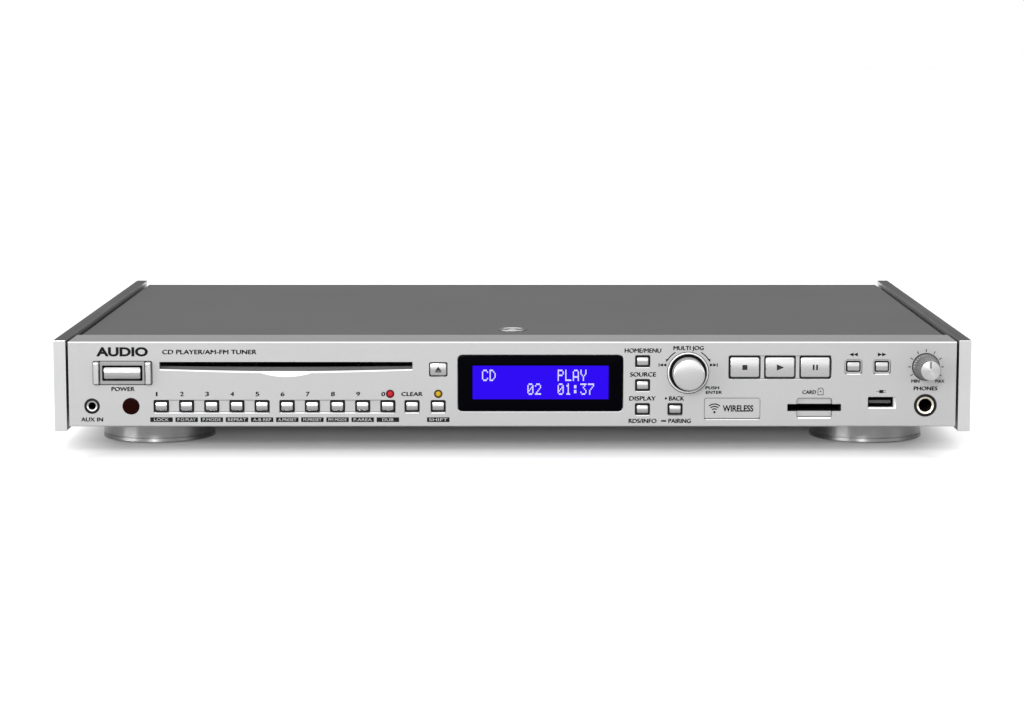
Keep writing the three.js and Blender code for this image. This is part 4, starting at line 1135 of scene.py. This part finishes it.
def cover_badge():
    """A polished disc let into the cover, with a turned recess and a raised middle."""
    profile = [(0, -0.6), (6.3, -0.6), (6.3, 0), (6.9, 0.02), (6.9, 0.3), (6.65, 0.55), (5.9, 0.55),
               (5.6, 0.3), (2.9, 0.3), (2.7, 0.5), (1.6, 0.5), (1.4, 0.35), (0, 0.35)]
    make("cover_badge", turned_up(profile, 0, 62, 72, at=size_mm("top_cover")[1].z), BADGE_METAL)


cover_badge()


# ---- inside

for name, material, edge in (
    ("key_board", BOARD_GREEN, 0), ("main_board", BOARD_GREEN, 0), ("power_supply", ZINC, 0.12),
    ("loader_frame", ZINC, 0.1), ("loading_roller", RUBBER, 0), ("turntable", BLACK_PLASTIC, 0.1),
    ("laser_sled", BLACK_PLASTIC, 0.1), ("jog_plunger", BLACK_PLASTIC, 0.1), ("volume_pot", ZINC, 0.1),
    ("output_jacks", BLACK_PLASTIC, 0.12), ("aerial_socket", SOCKET_STEEL, 0.12),
    ("mains_inlet", BLACK_PLASTIC, 0.15),
):
    refined(name, material, edge)


def feed_screw():
    """The sled's screw, with its thread."""
    low, high = size_mm("feed_screw")
    middle = (low + high) / 2
    radius, depth, pitch, count = (high.x - low.x) / 2, 0.3, 3.0, 16
    per_pitch = 8
    turns = int((high.y - low.y) / pitch * per_pitch)
    loops = []
    for i in range(turns + 1):
        y = low.y + (high.y - low.y) * i / turns
        loop = []
        for j in range(count):
            turn = 2 * math.pi * j / count
            climb = ((y - low.y) / pitch + turn / (2 * math.pi)) % 1
            r = radius - depth * (1 - abs(2 * climb - 1)) ** 0.5
            loop.append((middle.x + r * math.cos(turn), y, middle.z + r * math.sin(turn)))
        loops.append(loop)
    make("feed_screw_thread", loft(loops), SOCKET_STEEL, "feed_screw", ["feed_screw"])


feed_screw()


def laser_lens():
    low, high = size_mm("laser_sled")
    profile = [(0, -0.3), (3.1, -0.3), (3.1, 0.02), (2.4, 0.2), (1.3, 0.36), (0, 0.42)]
    make("laser_lens", turned_up(profile, SLOT["x"], (low.y + high.y) / 2, 40, at=high.z), LENS_BLUE,
         "laser_sled")


laser_lens()

# The board's chips, capacitors and heatsink: x, y and half width, on the board's top at BOARD_TOP.
BOARD_TOP = size_mm("main_board")[1].z - 18
CHIPS = [(20, 120, 14), (70, 150, 10), (10, 210, 9)]
CAPACITORS = [(90, 200), (90, 218), (90, 236)]
HEATSINK = ((40, 62), (236, 256))


def board_parts():
    """Chips, capacitors and a finned heatsink over the ones in the CAD board."""
    skin, z = 0.06, BOARD_TOP
    chips, legs, sleeves = [], [], []
    for x, y, half in CHIPS:
        h = half + skin
        chips.append(loft([level(rounded(x, y, 2 * h, 2 * h, 0.6), z + 0.3),
                           level(rounded(x, y, 2 * h, 2 * h, 0.6), z + 1.2),
                           level(rounded(x, y, 2 * h - 0.5, 2 * h - 0.5, 0.5), z + 2.2 + skin)]))
        for i in range(-4, 5):
            at = i * half / 5
            for side in (-1, 1):
                far = side * (h + 0.9)
                tall = (z, z + 0.25)
                legs.append(box(sorted((x + far, x + side * h)), (y + at - 0.3, y + at + 0.3), tall))
                legs.append(box((x + at - 0.3, x + at + 0.3), sorted((y + far, y + side * h)), tall))
    for x, y in CAPACITORS:
        sleeves.append(turned_up([(0, 0.2), (5.06, 0.2), (5.06, 1.2), (4.8, 1.5), (5.06, 1.9), (5.06, 13.6),
                                  (4.7, 14.1), (0, 14.1)], x, y, 32, at=z))
    make("main_board_chips", together(*chips), BLACK_PLASTIC)
    make("main_board_legs", together(*legs), SOCKET_STEEL)
    make("main_board_capacitors", together(*sleeves), CAPACITOR_SLEEVE)
    (x0, x1), (y0, y1) = HEATSINK
    fins = [box((x0 - 0.1, x1 + 0.1), (y0 - 0.06, y0 + 2), (z + 0.1, z + 18.1))]
    fins += [box((x - 0.5, x + 0.5), (y0 + 1.5, y1 + 0.2), (z + 0.1, z + 18.12))
             for x in (x0 + 0.4 + i * (x1 - x0 - 0.8) / 6 for i in range(7))]
    make("main_board_heatsink", together(*fins), BLACK_PLASTIC)


board_parts()


# ---- rear and underside

REAR_Y = size_mm("rear_panel")[1].y
OUTPUTS = [(x, z, colour) for x, colour in ((-176, "red"), (-162, "white")) for z in (40, 24)]
AERIAL, INLET = (-112, 32), (170, 31.5)


def screw_head(radius, proud):
    """A domed head with a cross recess, drawn about the origin and standing along z."""
    count = 32
    rounds = [(radius, -0.3), (radius, proud * 0.35), (radius * 0.86, proud * 0.75), (radius * 0.62, proud)]
    loops = [level(circle(0, 0, r, count), z) for r, z in rounds]
    cross = []
    for i in range(count):
        turn = 2 * math.pi * i / count
        near = abs(math.sin(2 * turn)) ** 0.35
        reach = radius * (0.52 - 0.36 * near)
        cross.append((reach * math.cos(turn), reach * math.sin(turn)))
    floor_of_cross = [(a * 0.7, b * 0.7) for a, b in cross]
    return loft([*loops, level(cross, proud), level(floor_of_cross, proud * 0.25), [(0, 0, proud * 0.2)]])


def screws(name, places, direction, radius=2.7, proud=1.1):
    """Screw heads at a list of places, all facing back or all facing down."""
    turn = {"back": lambda x, y, z: (x, z, -y), "down": lambda x, y, z: (x, -y, -z)}[direction]
    shapes = []
    for place in places:
        points, faces = screw_head(radius, proud)
        shapes.append(([tuple(Vector(turn(*p)) + Vector(place)) for p in points], faces))
    make(name, together(*shapes), SCREW_STEEL)


def rear():
    back = REAR_Y
    barrel = [(4.3, 0), (4.3, 8.9), (4.1, 9.3), (3.5, 9.3), (3.5, 0)]
    collar = [(6.4, -0.05), (6.4, 0.5), (6.1, 0.8), (4.32, 0.8), (4.32, -0.05)]
    core = [(3.48, 2), (3.48, 9.45), (1.7, 9.45), (1.7, 2)]
    for number, (x, z, colour) in enumerate(OUTPUTS, 1):
        make(f"output_barrel_{number}", ring(barrel, x, z, 40, at=back), SOCKET_STEEL)
        make(f"output_insulator_{number}",
             together(ring(collar, x, z, 40, at=back), ring(core, x, z, 32, at=back)),
             RED_RING if colour == "red" else WHITE_RING)
    nut = [(7.2, -0.05), (7.2, 1.6), (6.9, 1.9), (5.0, 1.9), (4.65, 1.6), (4.65, -0.05)]
    make("aerial_nut", ring(nut, *AERIAL, 48, at=back), SOCKET_STEEL)
    pin = [(0, 2.2), (0.6, 2.2), (0.6, 8.2), (0.3, 8.7), (0, 8.7)]
    washer = [(3.55, 2.0), (3.55, 2.6), (0.62, 2.6), (0.62, 2.0)]
    make("aerial_pin", together(turned(pin, *AERIAL, 20, at=back), ring(washer, *AERIAL, 32, at=back)),
         WHITE_RING)
    ix, iz = INLET
    pins = [box((ix + dx - 1.06, ix + dx + 1.06), (268.2, 283.1), (iz + dz - 2.06, iz + dz + 2.06))
            for dx, dz in ((-7, -1.5), (0, 2.5), (7, -1.5))]
    make("inlet_pins", together(*pins), SOCKET_STEEL)
    screws("rear_screws", [(x, back, z) for x, z in (
        (-202, 44), (-202, 18), (202, 44), (202, 18), (-90, 44), (90, 44), (-90, 18), (90, 18),
        (-169, 32))], "back")
    words = [("LINE OUT", -169, 47.4, 15, 2.3), ("R", -176, 32, 1.9, 2.3), ("L", -162, 32, 1.5, 2.3),
             ("AM / FM AERIAL", AERIAL[0], 43.5, 27, 2.3), ("AC IN", INLET[0], 46.8, 10.5, 2.3)]
    make("rear_legends", together(*[legend(*word, at=back, rear=True) for word in words]), REAR_INK)
    under = size_mm("chassis_base")[0].z
    screws("base_screws", [(x, y, under) for x in (-140, 0, 140) for y in (14, 276)]
           + [(x, y, under) for x in (-60, 60) for y in (90, 200)], "down", 2.6, 1.0)


rear()


# ---- camera and studio

CAMERA_AT = (-0.15, -1269.1, 205.97)
CAMERA_PITCH = 7.217
LENS = 94.92
KEY_LIGHT = {"at": (-0.35, -2.25, 0.95), "towards": (0.02, -0.14, 0.03), "size": (0.45, 0.45), "power": 37}
# How strongly the floor glows deep under the player, under its front, beside it and in the open: painted
# shadow under it and painted light round it.
FLOOR_PAINTED_GLOW = {"deep": 0.03, "under": 0.09, "beside": 0.55, "open": 0.31}
# Where the floor's painted light and shadow start and end each change, in metres from the middle.
FLOOR_RAMPS = {"side": (0.185, 0.222), "front": (0.138, 0.2), "deep": (0.062, 0.1), "open": (0.23, 0.33)}


def camera():
    data = bpy.data.cameras.new("camera")
    data.lens = LENS
    data.sensor_width = 36
    data.clip_end = 30
    obj = bpy.data.objects.new("camera", data)
    obj.location = TO_ROW @ Vector(CAMERA_AT)
    obj.rotation_euler = (math.radians(90 - CAMERA_PITCH), 0, 0)
    bpy.context.scene.collection.objects.link(obj)
    bpy.context.scene.camera = obj


def softbox(name, at, towards, size, power):
    data = bpy.data.lights.new(name, "AREA")
    data.shape = "RECTANGLE"
    data.size, data.size_y = size
    data.energy = power
    obj = bpy.data.objects.new(name, data)
    obj.location = at
    obj.rotation_euler = (Vector(towards) - Vector(at)).to_track_quat("-Z", "Y").to_euler()
    bpy.context.scene.collection.objects.link(obj)


# Brightness of the room that the player reflects: behind it, in front of it and overhead, and of two tall
# strips in it. What comes from the right is cut to a share of that.
ROOM = {"rear": 0.26, "front": 2.5, "top": 2.75, "left_strip": 12.5, "right_strip": 3.5, "right_share": 0.58}
STRIPS = {"left_strip": (-0.829, -0.559, 0), "right_strip": (0.85, -0.527, 0)}
# Where each change in the room starts and ends, by a direction's x, y or z, or by how nearly it points at
# a strip.
ROOM_RAMPS = {"front": (0.3, -0.5), "top": (0.45, 0.85), "strip_edge": (0.965, 0.985),
              "strip_top": (0.5, 0.25), "right": (0.35, 0.8)}


def room():
    """A room of soft light, dimmer behind the player. Seen straight on, it is plain white."""
    world = bpy.data.worlds.new("studio")
    world.use_nodes = True
    tree = world.node_tree
    way = add(tree, "ShaderNodeTexCoord", {}, "Generated")
    x, y, z = (add(tree, "ShaderNodeSeparateXYZ", {0: way}, axis) for axis in "XYZ")
    low = blend_values(tree, ramp_between(tree, y, *ROOM_RAMPS["front"]), ROOM["rear"], ROOM["front"])
    glow = blend_values(tree, ramp_between(tree, z, *ROOM_RAMPS["top"]), low, ROOM["top"])
    level_way = add(tree, "ShaderNodeVectorMath", {0: way, 1: (1, 1, 0)}, operation="MULTIPLY")
    unit_way = add(tree, "ShaderNodeVectorMath", {0: level_way}, operation="NORMALIZE")
    below = ramp_between(tree, z, *ROOM_RAMPS["strip_top"])
    for name, way_to in STRIPS.items():
        toward = add(tree, "ShaderNodeVectorMath", {0: unit_way, 1: way_to}, "Value", operation="DOT_PRODUCT")
        within = ramp_between(tree, toward, *ROOM_RAMPS["strip_edge"])
        strip = operate(tree, "MULTIPLY", within, below)
        glow = operate(tree, "MULTIPLY_ADD", strip, ROOM[name], glow)
    share = blend_values(tree, ramp_between(tree, x, *ROOM_RAMPS["right"]), 1.0, ROOM["right_share"])
    shaded = operate(tree, "MULTIPLY", glow, share)
    seen = add(tree, "ShaderNodeLightPath", {}, "Is Camera Ray")
    background = tree.nodes["Background"].inputs
    background["Color"].default_value = (1, 1, 1, 1)
    tree.links.new(blend_values(tree, seen, shaded, 1.0), background["Strength"])
    bpy.context.scene.world = world


def floor_painted_glow(tree):
    """The paper's glow, painted light and shadow: faintest deep under the player as a painted shadow, and
    stronger clear of it on every side as painted light.
    """
    place = add(tree, "ShaderNodeTexCoord", {}, "Object")
    size = add(tree, "ShaderNodeVectorMath", {0: place}, operation="ABSOLUTE")
    x, y = (add(tree, "ShaderNodeSeparateXYZ", {0: size}, axis) for axis in "XY")
    clear = operate(tree, "MAXIMUM", ramp_between(tree, x, *FLOOR_RAMPS["side"]),
                    ramp_between(tree, y, *FLOOR_RAMPS["front"]))
    deep = ramp_between(tree, y, *FLOOR_RAMPS["deep"])
    under = blend_values(tree, deep, FLOOR_PAINTED_GLOW["deep"], FLOOR_PAINTED_GLOW["under"])
    far = ramp_between(tree, x, *FLOOR_RAMPS["open"])
    around = blend_values(tree, far, FLOOR_PAINTED_GLOW["beside"], FLOOR_PAINTED_GLOW["open"])
    return blend_values(tree, clear, under, around)


def studio():
    bpy.context.scene.view_settings.view_transform = "Standard"
    room()
    reach = 9
    sheet = ([(-reach, -reach, 0), (reach, -reach, 0), (reach, reach, 0), (-reach, reach, 0)], [(0, 1, 2, 3)])
    floor = linked("floor", mesh_of("floor", sheet, Matrix.Identity(4)))
    paper = surface("paper", 0.34, 0.9, grain=40, shade=0.01, bump=0.0, specular=0.1)
    shader = paper.node_tree.nodes["Principled BSDF"].inputs
    shader["Emission Color"].default_value = (1, 1, 1, 1)
    paper.node_tree.links.new(floor_painted_glow(paper.node_tree), shader["Emission Strength"])
    floor.data.materials.append(paper)
    softbox("key_light", **KEY_LIGHT)


camera()
studio()
